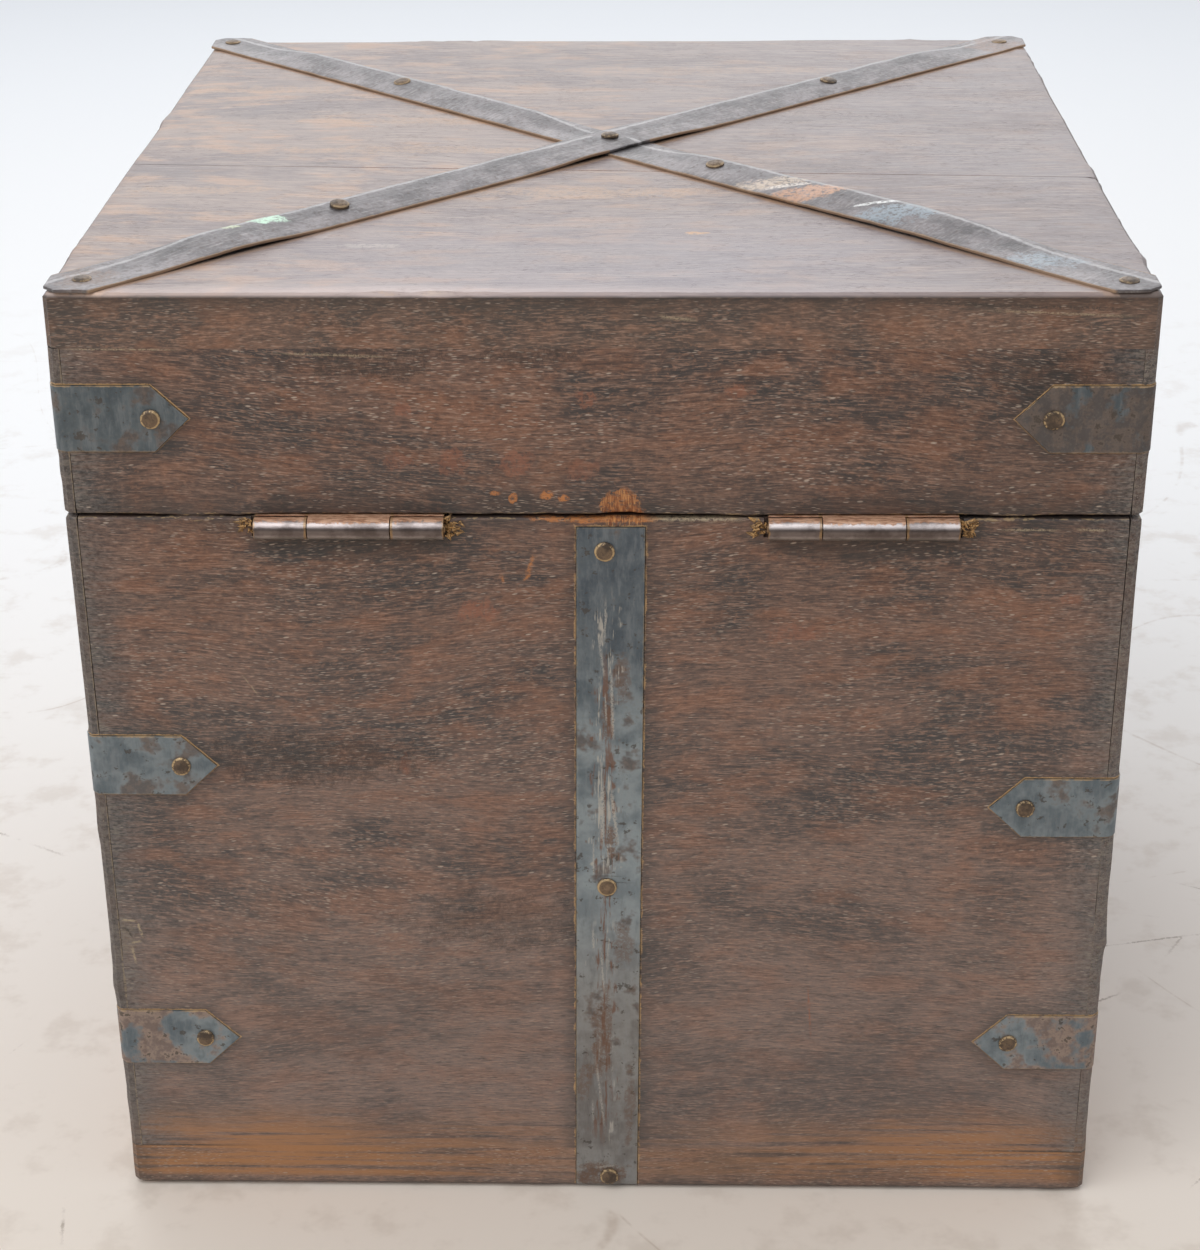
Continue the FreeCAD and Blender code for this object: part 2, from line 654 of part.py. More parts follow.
# ---------------------------------------------------------------- putting the chest together
def main():
    parts = {}
    strap_holes, housings, nail_sets = [], [], {"lid": [], "body": []}

    strap = corner_wrap(strap_bend, strap_width / 2, strap_reach, strap_shoulder)
    housing = corner_wrap(
        corner_housing, strap_width / 2 + housing_clearance,
        strap_reach + housing_clearance, strap_shoulder,
    )
    rows = (
        ("lid", "lid_corner_strap", lid_strap_height, 0.0),
        ("body", "upper_corner_strap", upper_strap_height, upper_strap_left_drop),
        ("body", "lower_corner_strap", lower_strap_height, 0.0),
    )
    for owner, name, row_height, left_drop in rows:
        for corner, side in CORNERS.items():
            height = row_height if side[0] > 0 else row_height - left_drop
            spots = corner_nail_spots(side, height)
            holes = [shank_hole(spot, out) for spot, out in spots]
            placed = to_corner(strap, side, height)
            parts[f"{name}_{corner}"] = cut_away(placed, holes)
            housings.append(to_corner(housing, side, height))
            strap_holes += holes
            nail_sets[owner] += spots

    centre_spots = [(Vector(centre_nail_x, strap_face_y, z), Y_AXIS) for z in back_strap_nails]
    centre_spots += [(Vector(centre_nail_x, -strap_face_y, z), -Y_AXIS) for z in front_strap_nails]
    centre_holes = [shank_hole(spot, out) for spot, out in centre_spots]
    lock_holes = [at_hasp(h, lock_staple_drop, False) for h in staple_holes(lock_staple_legs, staple_depth)]
    band = centre_band(strap_bend, strap_width / 2, centre_strap_end)
    parts["centre_strap"] = cut_away(band, centre_holes + lock_holes)
    housings.append(centre_band(
        foot_housing, strap_width / 2 + housing_clearance, centre_strap_end + housing_clearance,
    ))
    parts["centre_strap_nails"] = Part.Compound([aimed(strap_nail(), s, o) for s, o in centre_spots])
    for owner in ("lid", "body"):
        parts[f"{owner}_corner_strap_nails"] = Part.Compound(
            [aimed(strap_nail(), s, o) for s, o in nail_sets[owner]]
        )

    over_spots = cross_nail_spots(over_stations, over_nails_back, over_nails_front, [0.0], 1)
    under_spots = cross_nail_spots(under_stations, under_nails_back, under_nails_front, [], -1)
    cross_holes = [shank_hole(s, o) for s, o in over_spots + under_spots]
    parts["cross_strap_over"] = cut_away(cross_strap(over_stations, 1), cross_holes)
    parts["cross_strap_under"] = cut_away(cross_strap(under_stations, -1), cross_holes)
    parts["cross_strap_nails"] = Part.Compound(
        [aimed(strap_nail(), s, o) for s, o in over_spots + under_spots]
    )

    leaf_holes, pockets, leaf_nails = [], [], {"lid": [], "body": []}
    for name, middle in (("right", hinge_right_x), ("left", hinge_left_x)):
        first, second, third = knuckle_spans(middle)
        lid_places = leaf_nail_places(middle, lid_leaf_bottom, -Z_AXIS)
        body_places = leaf_nail_places(middle, body_leaf_bottom + hinge_leaf_thickness, Z_AXIS)
        parts[f"hinge_{name}_lid_leaf"] = hinge_leaf(
            middle, lid_leaf_bottom, [second], [first, third], lid_places
        )
        parts[f"hinge_{name}_body_leaf"] = hinge_leaf(
            middle, body_leaf_bottom, [first, third], [second], body_places
        )
        parts[f"hinge_{name}_pin"] = hinge_pin(middle)
        leaf_holes += [leaf_nail_hole(s, o) for s, o in lid_places + body_places]
        leaf_nails["lid"] += lid_places
        leaf_nails["body"] += body_places
        pockets.append(hinge_pocket(middle))
    for owner in ("lid", "body"):
        parts[f"hinge_{owner}_nails"] = Part.Compound(
            [aimed(leaf_nail(0), s, o) for s, o in leaf_nails[owner]]
        )

    pivot_holes = [at_hasp(h, 0.0, True) for h in staple_holes(hasp_staple_legs, staple_depth)]
    pivot_out = hasp_pivot_out + wire_radius
    parts["hasp_staple"] = at_hasp(staple(hasp_staple_legs, pivot_out, staple_depth), 0.0, True)
    parts["lock_staple"] = at_hasp(
        staple(lock_staple_legs, lock_staple_out, staple_depth), lock_staple_drop, False
    )
    parts["hasp"] = thrown_up(hasp())

    tools = housings + strap_holes + centre_holes + cross_holes + leaf_holes + pockets
    tools += pivot_holes + lock_holes

    body_case = worn_case(0.0, body_height)
    body_case = body_case.makeChamfer(foot_arris, edges_at(body_case, 0.0))
    body_case = body_case.makeChamfer(rim_arris, edges_at(body_case, rim))
    lid_case = worn_case(lid_underside, lid_height)
    lid_case = lid_case.makeChamfer(rim_arris, edges_at(lid_case, lid_underside))
    lid_case = lid_case.makeChamfer(top_arris, edges_at(lid_case, top))
    wood = {}
    for name, board in wall_boards(plank_thickness, body_height - plank_thickness).items():
        wood[f"body_{name}_board"] = board.common(body_case)
    for name, plank in plank_pair(0.0, bottom_joint, bottom_joint).items():
        wood[f"bottom_plank_{name}"] = plank.common(body_case)
    for name, board in wall_boards(lid_underside, lid_height - plank_thickness).items():
        wood[f"lid_{name}_rail"] = board.common(lid_case)
    for name, plank in plank_pair(lid_rail_top, top_joint_right, top_joint_left).items():
        wood[f"top_plank_{name}"] = plank.common(lid_case)
    for name, board in wood.items():
        parts[name] = cut_away(board, tools)

    os.makedirs("parts", exist_ok=True)
    for name, shape in parts.items():
        print(f"{name:34s} {len(shape.Solids):2d} solids {shape.Volume:12.1f} mm3 valid {shape.isValid()}")
        shape.exportStep(f"parts/{name}.step")
    print(f"{len(parts)} nodes; hinge line y {hinge_y:.3f} z {hinge_z:.3f}; "
          f"hasp line y {hasp_y:.3f} z {hasp_z:.3f}, swing {hasp_swing:.2f} degrees; top {top:.2f}")


main()
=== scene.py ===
# %% [markdown]
# # A small hardwood chest with iron straps
# The chest comes as a finished CAD model, in metres, with its hinges and its hasp already working.
# Blender's task is the look: worn boards, hammered iron, nails and light. The CAD nodes stay where
# they are. They get a better finish, and a few are replaced by pieces that are modelled below.

import math
import random
from functools import cached_property
from types import SimpleNamespace

import bmesh
import bpy
from mathutils import Matrix, Vector, noise


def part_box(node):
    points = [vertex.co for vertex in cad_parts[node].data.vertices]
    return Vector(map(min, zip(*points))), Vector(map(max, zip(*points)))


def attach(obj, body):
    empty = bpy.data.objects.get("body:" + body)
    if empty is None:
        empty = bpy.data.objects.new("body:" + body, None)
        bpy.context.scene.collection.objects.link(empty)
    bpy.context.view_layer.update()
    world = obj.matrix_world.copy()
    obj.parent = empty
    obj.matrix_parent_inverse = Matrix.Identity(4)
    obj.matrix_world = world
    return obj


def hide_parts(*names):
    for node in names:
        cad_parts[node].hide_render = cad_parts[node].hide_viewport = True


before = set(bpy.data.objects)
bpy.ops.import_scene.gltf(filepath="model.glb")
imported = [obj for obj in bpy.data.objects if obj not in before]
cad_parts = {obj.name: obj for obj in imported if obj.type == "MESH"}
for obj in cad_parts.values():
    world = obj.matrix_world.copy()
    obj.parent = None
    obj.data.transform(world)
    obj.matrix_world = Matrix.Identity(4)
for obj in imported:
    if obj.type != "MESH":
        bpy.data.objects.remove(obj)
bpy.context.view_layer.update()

# %% [markdown]
# ## Where things are
# Every pattern and every new piece is placed from the CAD model's own boxes, so nothing has to be
# fitted by eye. Numbers below are in millimetres, which are easier to think in for a chest of this
# size, and MM turns them into the metres that Blender uses.

# %% Measure the frame
MM = 0.001
X, Z = 0, 2


def corners(node):
    """The lowest and the highest corner of a CAD node."""
    return [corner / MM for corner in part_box(node)]


def middle(node, axis=Z):
    low, high = corners(node)
    return (low[axis] + high[axis]) / 2


def half_size(node, axis):
    low, high = corners(node)
    return (high[axis] - low[axis]) / 2


board_end = corners("body_back_board")[1]
half, rim = board_end.y, board_end.z             # middle of the chest to a face of it, floor to rim
lip_width = half - board_end.x                   # of a side board, past the board let into it
lid_underside, rail_top = (corner.z for corner in corners("lid_back_rail"))
top = corners("top_plank_back")[1].z
plank_height = corners("bottom_plank_back")[1].z
top_joint_right = corners("top_plank_back")[0].y     # the planks taper, so their joint leans
top_joint_left = corners("top_plank_front")[1].y
lid_strap = middle("lid_corner_strap_back_right")
upper_strap_right, upper_strap_left = (middle(f"upper_corner_strap_back_{side}") for side in ("right", "left"))
lower_strap = middle("lower_corner_strap_back_right")
strap_half = half_size("lower_corner_strap_back_right", Z)
strap_reach = half - corners("lower_corner_strap_back_right")[0].x
centre_low, centre_high = corners("centre_strap")
centre_foot = centre_high.x - strap_half         # the centre strap was nailed on leaning
centre_top, centre_end = centre_low.x + strap_half, centre_high.z
hinge_middles = [middle(f"hinge_{side}_pin", X) for side in ("right", "left")]
hinge_half, hinge_line = half_size("hinge_right_pin", X), middle("hinge_right_pin")
STRAP_SHOULDER = 26.5                            # corner of the chest to where a strap's point begins
NAIL_FROM_CORNER = 26
END_KNUCKLE = 14.35                              # of a hinge, with half the gap beside it
CROSS_WIDTH = 18                                 # of the crossed straps
RIDGE_OFFSET = 4.2                               # of their ridge, from the middle towards the front
print("half", round(half, 2), "rim", round(rim, 2), "top", round(top, 2), "strap half", round(strap_half, 2))

# %% [markdown]
# ## Shader maths that reads like arithmetic
# A procedural material is mostly sums: masks are added, scaled and compared. A Thread wraps one
# socket of a node tree and overloads the operators, so that `1 - mask` adds the Math node that it
# says. A Finish holds one material, and its method `node` adds any other node: type, settings, then
# the values or threads of its sockets. Most of a finish is coats: thin colours, one over another.

# %% A small class for shader maths
class Thread:
    """One value of a material on its way from node to node."""

    def __init__(self, finish, socket):
        self.finish, self.socket = finish, socket

    def maths(operation):
        """A method that adds one kind of Math node."""
        def work(self, *others):
            return self.finish.node("ShaderNodeMath", {"operation": operation}, dict(enumerate((self, *others))))
        return work

    __add__ = __radd__ = maths("ADD")
    __sub__ = maths("SUBTRACT")
    __mul__ = __rmul__ = maths("MULTIPLY")
    __truediv__ = maths("DIVIDE")
    __abs__ = maths("ABSOLUTE")
    least, most = maths("MINIMUM"), maths("MAXIMUM")
    sine, above = maths("SINE"), maths("GREATER_THAN")

    def __rsub__(self, other):
        return self.finish.node("ShaderNodeMath", {"operation": "SUBTRACT"}, {0: other, 1: self})

    def rise(self, start, end):
        """0 before start and 1 after end, smooth between. start may be the larger."""
        return self.finish.node(
            "ShaderNodeMapRange", {"interpolation_type": "SMOOTHSTEP"},
            {"Value": self, "From Min": start, "From Max": end},
        )

    def other(self, name):
        """Another output of the same node."""
        return Thread(self.finish, self.socket.node.outputs[name])


def paint(red, green, blue):
    """A colour as it is seen, 0 to 255, as the linear colour that shaders use."""
    shares = [value / 255 for value in (red, green, blue)]
    return [s / 12.92 if s < 0.04045 else ((s + 0.055) / 1.055) ** 2.4 for s in shares] + [1.0]


class Finish:
    """One material and the nodes in it, with the place on the chest in mm and two kinds of raggedness."""

    def __init__(self, name):
        self.material = bpy.data.materials.new(name)
        self.material.use_nodes = True
        self.tree = self.material.node_tree
        self.tree.nodes.clear()
        place = self.node("ShaderNodeSeparateXYZ", {}, {0: self.node("ShaderNodeTexCoord", output="Object")})
        self.xyz = [axis * (1 / MM) for axis in (place, place.other("Y"), place.other("Z"))]
        self.x, self.y, self.z = self.xyz
        self.fray = self.cloud(1.3, 3, 0.7) - 0.5
        self.tatter = self.cloud(5, 2, 0.6) - 0.5

    @cached_property
    def from_corner(self):
        """Distance to the nearest upright edge of the chest, measured round the faces."""
        return 2 * half - abs(self.x) - abs(self.y)

    @cached_property
    def from_axis(self):
        """Distance to the upright middle line of the chest, square to the faces."""
        return abs(self.x).most(abs(self.y))

    def node(self, kind, settings=None, sockets=None, output=0):
        made = self.tree.nodes.new(kind)
        for name, value in (settings or {}).items():
            setattr(made, name, value)
        for name, value in (sockets or {}).items():
            if isinstance(value, Thread):
                self.tree.links.new(value.socket, made.inputs[name])
            else:
                made.inputs[name].default_value = value
        return None if output is None else Thread(self, made.outputs[output])

    def noise(self, x, y, z, detail=2, roughness=0.5):
        """Cloudy noise from about 0.2 to 0.8, one cloud to each unit of x, y and z."""
        spot = self.node("ShaderNodeCombineXYZ", {}, {0: x, 1: y, 2: z})
        sockets = {"Vector": spot, "Scale": 1, "Detail": detail, "Roughness": roughness}
        return self.node("ShaderNodeTexNoise", {}, sockets)

    def cloud(self, size, detail, roughness, shift=None):
        """Noise whose clouds have one size in mm. shift moves to another part of the pattern."""
        x, y, z = (axis / size for axis in self.xyz)
        return self.noise(x if shift is None else x + shift, y, z, detail, roughness)

    def cells(self, x, y, z):
        """Distance to the nearest of scattered points, about one to each unit; its Color is random per point."""
        spot = self.node("ShaderNodeCombineXYZ", {}, {0: x, 1: y, 2: z})
        return self.node("ShaderNodeTexVoronoi", {}, {"Vector": spot, "Scale": 1})

    def mix(self, share, under, over):
        """Colour under with a share of colour over it."""
        return self.node("ShaderNodeMix", {"data_type": "RGBA"}, {0: share, 6: under, 7: over}, output=2)

    def coats(self, colour, *layers):
        """Coats over a colour, in their order. Each is a share and red, green, blue, or a share and a colour."""
        for share, *over in layers:
            colour = self.mix(share, colour, paint(*over) if len(over) == 3 else over[0])
        return colour

    def surface(self, colour, roughness, height, depth, metallic=0):
        """Finish the material: height times depth, in metres, is its relief."""
        relief = self.node("ShaderNodeBump", {}, {"Strength": 1, "Distance": depth, "Height": height})
        shader = self.node("ShaderNodeBsdfPrincipled", {}, {
            "Base Color": colour, "Roughness": roughness, "Metallic": metallic, "Normal": relief,
        })
        self.node("ShaderNodeOutputMaterial", {}, {"Surface": shader}, output=None)
        return self.material


# %% [markdown]
# ## The outline of a strap, for the shaders
# Each iron strap is let into a housing that a knife and a chisel cut in the wood. Along that cut the
# wood is raw and pale, a little further out dirt has gathered, and the iron's own edge is rubbed
# bright. All three follow the same outline, so one distance, worked out from the strap's sizes, serves
# the wood outside it and the iron inside it. An image painted by hand would also do, but it would
# have to be stored, and it would stretch when the chest is made wider.

# %% Distance to the straps
def past_corner_straps(finish):
    """Distance outside the nearest corner strap, below 0 on it, and the height above its middle line."""
    z = finish.z
    upper = upper_strap_left + finish.x.above(0) * (upper_strap_right - upper_strap_left)
    on_lid = z.above((rim + lid_underside) / 2)
    on_upper = z.above((lower_strap + upper_strap_left) / 2)
    height = z - (lower_strap + on_upper * (upper - lower_strap) + on_lid * (lid_strap - upper))
    taper = strap_reach - STRAP_SHOULDER
    past_point = (finish.from_corner - strap_reach) * strap_half + abs(height) * taper
    return (past_point / math.hypot(strap_half, taper)).most(abs(height) - strap_half), height


def from_centre_line(finish):
    """Distance to the right of the centre strap's leaning middle line."""
    lean = finish.z * ((centre_top - centre_foot) / centre_end) * finish.y.above(0)
    return finish.x - centre_foot - lean


def past_centre_strap(finish):
    """Distance outside the centre strap, on the back, the front and the bottom."""
    return (abs(from_centre_line(finish)) - strap_half).most(finish.z - centre_end)


# %% [markdown]
# ## Marks of a long life
# Knocks and scratches sit in places of their own, which no noise would choose. A blotch is an ellipse
# whose edge is frayed by noise, and a scratch is a thin line that fades out at both ends. Both take
# their place in mm on the face that carries them, so they move with the board they are in.

# %% Blotches and scratches
def blotch(finish, across, up, middle_u, middle_v, reach_u, reach_v, ragged=4):
    """A frayed ellipse, 1 in the middle and 0 outside."""
    u, v = (across - middle_u) / reach_u, (up - middle_v) / reach_v
    return (u * u + v * v + finish.fray * ragged + finish.tatter * ragged).rise(1.2, 0.7)


def scratch(finish, across, up, start_u, start_v, end_u, end_v, width):
    """A thin line from a start to an end."""
    length = math.dist((start_u, start_v), (end_u, end_v))
    ahead_u, ahead_v = (end_u - start_u) / length, (end_v - start_v) / length
    u, v = across - start_u, up - start_v
    run = u * ahead_u + v * ahead_v
    off = abs(u * ahead_v - v * ahead_u)
    ends = run.rise(0, length * 0.3) * run.rise(length, length * 0.7)
    return (off + finish.fray * width * 5).rise(width, width * 0.2) * ends


def old_marks(finish, colour, across, up, on_face, blotches, scratches=()):
    """Lay marks on one face, where on_face is 1. Each group has a tint and (strength, place ...) marks."""
    patchy = (finish.fray.rise(-0.13, 0.04) * 0.85 + 0.15) * on_face
    for shape, groups in ((blotch, blotches), (scratch, scratches)):
        for tint, *marks in groups:
            for strength, *place in marks:
                colour = finish.mix(shape(finish, across, up, *place) * patchy * strength, colour, tint)
    return colour


def between_levels(groups, low, high):
    """Those of the marks on the back that lie between two heights."""
    return [[tint, *(mark for mark in marks if low <= mark[2] <= high)] for tint, *marks in groups]


def most_of(first, *others):
    """Several masks as one."""
    for mask in others:
        first = first.most(mask)
    return first


# %% [markdown]
# ## The wood of the walls
# The chest is made of a dense reddish hardwood, darkened by oil, smoke and hands. Close up it has fine
# straight grain, a slow flame of dark and red patches, and open pores that dust has filled, which
# show as thousands of short pale dashes. The grain runs along the board, so the finish takes the name
# of that axis. All patterns live in the board's own coordinates, as if cut from one block, so they go
# round the corners of a board as real figure does.

# %% Grain and pores
def figure(finish, along, across, depth, seed):
    """Threads for the parts of a hardwood's figure, each from 0 to 1."""
    flow = finish.noise(along / 210 + seed, across / 90, depth / 60) - 0.5
    ripple = finish.noise(along / 50 + seed, across / 16, depth / 12) - 0.5
    bent = across + flow * 34 + ripple * 2.4
    patch = finish.noise(along / 60 + seed, bent / 30, depth / 34, 5, 0.70)
    dash = finish.cells(along / 2.7 + seed, bent / 0.42, depth / 0.42)
    dust = finish.noise(along / 40 + seed, across / 22, depth / 26, 3, 0.6)
    chosen = (dash.other("Color") * 1 + dust * 1.8).rise(1.28, 1.8)
    fleck = finish.cells(along / 6 + seed, (bent + along * 0.10) / 1.7, depth / 1.7)
    rare = (fleck.other("Color") * 1 + dust * 1.2).rise(1.14, 1.30)
    return SimpleNamespace(
        patch=patch,
        red=finish.noise(along / 22 - seed, bent / 8.5, depth / 14, 4, 0.62),
        streak=finish.noise(along / 13, bent / 0.9 + seed, depth / 1.2, 4, 0.68),
        fibre=finish.noise(along / 3.4, bent / 0.32, depth / 0.4 + seed, 2, 0.6),
        grit=finish.noise(along / 1.7 + seed, bent / 0.9, depth / 0.9, 3, 0.72),
        rings=(bent * 1.1 + flow * 30 + patch * 6).sine() * 0.5 + 0.5,
        pore=(dash.rise(0.38, 0.14) * chosen).most(fleck.rise(0.18, 0.08) * rare),
    )


# %% [markdown]
# The colour is built like the real surface: the wood first, then its red figure, then the dirt that
# gathers at edges, seams and straps, then what rubbing has laid bare. Relief comes from pores and
# fibres, with a shallow waviness from the plane that the board was worked with.

# %% What the foot, the edges and the straps do to the walls
def wood_colour(finish, wood):
    """The hardwood itself: brown, with soft black clouds, red flames and fine streaks, and paler below as painted
    light.
    """
    calm = 1 - finish.z.rise(130, 55) * 0.38      # the foot of the walls is more even
    return finish.coats(
        paint(112, 84, 71),
        # paler towards the foot: painted light from the floor
        (finish.z.rise(225, 40), 132, 111, 101),
        (wood.patch.rise(0.60, 0.40) * calm, 58, 54, 54),
        (wood.red.rise(0.46, 0.66) * 0.50 * calm, 150, 96, 64),
        (wood.rings * 0.10, 60, 46, 40),
        (wood.streak.rise(0.48, 0.70) * 0.42 * calm, 156, 116, 92),
        (wood.streak.rise(0.47, 0.30) * 0.44 * calm, 44, 38, 37),
        (wood.grit.rise(0.52, 0.68) * 0.44 * calm, 168, 124, 98),
        (wood.grit.rise(0.47, 0.30) * 0.44 * calm, 44, 38, 37),
        (wood.fibre.rise(0.50, 0.72) * 0.62, 174, 140, 120),
        (wood.fibre.rise(0.47, 0.30) * 0.62, 42, 36, 35),
    )


def sapwood(finish, colour, along, seed):
    """The orange sapwood along the foot, streaky, with a ragged upper border."""
    z = finish.z
    ragged = finish.noise(along / 60, z / 2, seed, 4, 0.66)
    reach = finish.noise(along / 40, 2 * seed, 0) * 26
    band = (z + ragged * 16 - reach).rise(28, 12) * z.rise(2.5, 5.5)
    share = abs(along + 12).rise(8, 105) * 0.70 + 0.30
    joint = (abs(z - plank_height) + finish.fray * 0.5).rise(0.5, 0.2) * abs(along).rise(half - 44, half - 14)
    return finish.coats(
        colour,
        (band * share * ragged.rise(0.36, 0.58) * 0.85, 176, 120, 68),
        (band * ragged.rise(0.44, 0.34) * 0.5, 70, 50, 40),
        (joint * 0.8, 34, 28, 25),
    )


def gathered_dirt(finish, cloud):
    """Where dirt gathers, 0 to 1: at corners, along the seam, the top, the foot and the straps."""
    x, y, z = finish.xyz
    past, height = past_corner_straps(finish)
    under_hinges = most_of(*(
        blotch(finish, x, z, middle_x, rim - 3, hinge_half + 8, 10, 0.9) for middle_x in hinge_middles
    ))
    return most_of(
        (finish.from_corner + cloud * 20).rise(27, 8) * (x.rise(-half, half) * 0.15 + 0.85),
        (z - lid_underside + cloud * 22).rise(24, 8) * z.above(rim),
        (rim - z + cloud * 14).rise(14, 4) * (1 - z.above(rim)),
        (top - z + cloud * 14).rise(13, 6) * 0.6,
        (z + cloud * 6).rise(7, 3),
        (past.least(past_centre_strap(finish)) + cloud * 9).rise(11, 3) * 0.8,
        (past + cloud * 1.6).rise(2.6, 0.9) * height.rise(0, strap_half),
        under_hinges * y.above(0) * 0.8,
    )


def raw_edges(finish, colour):
    """The pale wood that a knife laid bare round each strap, in crumbs and dashes."""
    past, height = past_corner_straps(finish)
    past_centre = past_centre_strap(finish)
    crumbs = finish.cloud(2.6, 2, 0.7)
    line = (past + finish.fray * 0.9).rise(0.62, 0.30) * past.rise(-0.4, 0)
    line = line * (height.rise(-3, 2) * 0.70 + 0.30) * crumbs.rise(0.28, 0.46)
    centre = (past_centre + finish.fray * 2.4).rise(0.80, 0.40) * past_centre.rise(-0.4, 0)
    centre = centre * crumbs.rise(0.38, 0.60)
    outside = finish.from_axis.rise(half - 6, half - 4).most(finish.z.rise(2, 1))
    return finish.coats(colour, (line.most(centre * 0.9) * outside * 0.9, 204, 166, 118))


# %% The marks on the back
CHIPS = ((-5.5, (5.6, 6.6), 1.3), (14.4, (2.4, 6.2), 0.6), (28, (2.2, 6), 0.6))      # middle, reach, depth
FRESH, RUBBED, PALE, DARK = paint(198, 128, 72), paint(156, 100, 76), paint(186, 168, 138), paint(36, 32, 30)
back_blotches = (
    (FRESH, (0.7, -5.5, 226.4, 5.4, 5), (0.9, 9.9, 228.9, 1.5, 1), (0.9, 14.4, 229.2, 1.7, 1.6),
     (0.8, 23.5, 228.9, 1.2, 1.4), (0.8, 28, 230.3, 1.8, 1), (0.8, 1.5, 222.6, 15, 1)),
    (RUBBED, (0.45, 54, 239, 4.5, 2.6), (0.5, 39.5, 239.2, 4.5, 3.6), (0.55, 23, 239, 4.5, 3.8),
     (0.35, 5, 237, 4, 3), (0.6, 33.3, 195.7, 7, 3.4), (0.5, 55.8, 147.3, 1.6, 3.4),
     (0.4, -52, 189, 8, 2.6), (0.4, -127, 199.2, 4, 1.6)),
    (DARK, (0.45, 82, 149, 34, 8), (0.35, 30, 96, 26, 10), (0.40, -118, 262, 16, 8)),
    (PALE, (0.15, 139.5, 90, 3, 6.5)),
    (FRESH, (0.55, 139, 283.4, 6, 2.6)),
    (DARK, (0.9, -42.6, 223.6, 2, 1.8), (0.5, 60, 268, 20, 6), (0.5, 20, 272, 14, 6)),
    (RUBBED, (0.6, 4, 257, 3, 2.4), (0.5, -36, 259, 4, 2), (0.5, 52, 254, 2.4, 2), (0.5, 104, 276, 5, 2.4)),
)
back_scratches = (
    (PALE, (0.9, -9, 222.7, -41, 222.7, 0.9), (0.6, 70, 222.7, 48, 222.7, 0.6)),
    (FRESH, (0.8, 18.2, 213, 20.6, 204.6, 0.8), (0.7, 21.5, 204.4, 18.9, 206.6, 0.6),
     (0.6, 27.6, 207, 26.4, 203.4, 0.6)),
    (PALE, (0.5, 100.5, 176.4, 95.4, 168.6, 0.35)),
    (RUBBED, (0.8, -59.4, 76, -61, 54, 0.45)),
    (PALE, (0.75, 144, 270.8, 107, 270.6, 0.32), (0.6, 88, 269.8, 52, 268.6, 0.5),
     (0.6, -14, 280, -26, 278.6, 0.7)),
    (DARK, (0.9, -78, 283.6, -146, 281.4, 0.8)),
    (PALE, (0.6, -96, 281.6, -143, 279.6, 0.5), (0.7, -106, 219.9, -124, 219.7, 0.5),
     (0.7, -126, 220, -137, 219.6, 0.5)),
    (RUBBED, (0.6, 12, 66, -4, 65, 0.8)),
    (PALE, (0.9, 141.4, 95.6, 136, 95, 0.55), (0.9, 136.4, 96, 134.8, 88.6, 0.55),
     (0.8, 138.6, 87, 137.6, 79.6, 0.55), (0.8, 135, 88.4, 139, 87.4, 0.5)),
    (DARK, (0.8, 140, 93.6, 137.6, 88.6, 0.7)),
)


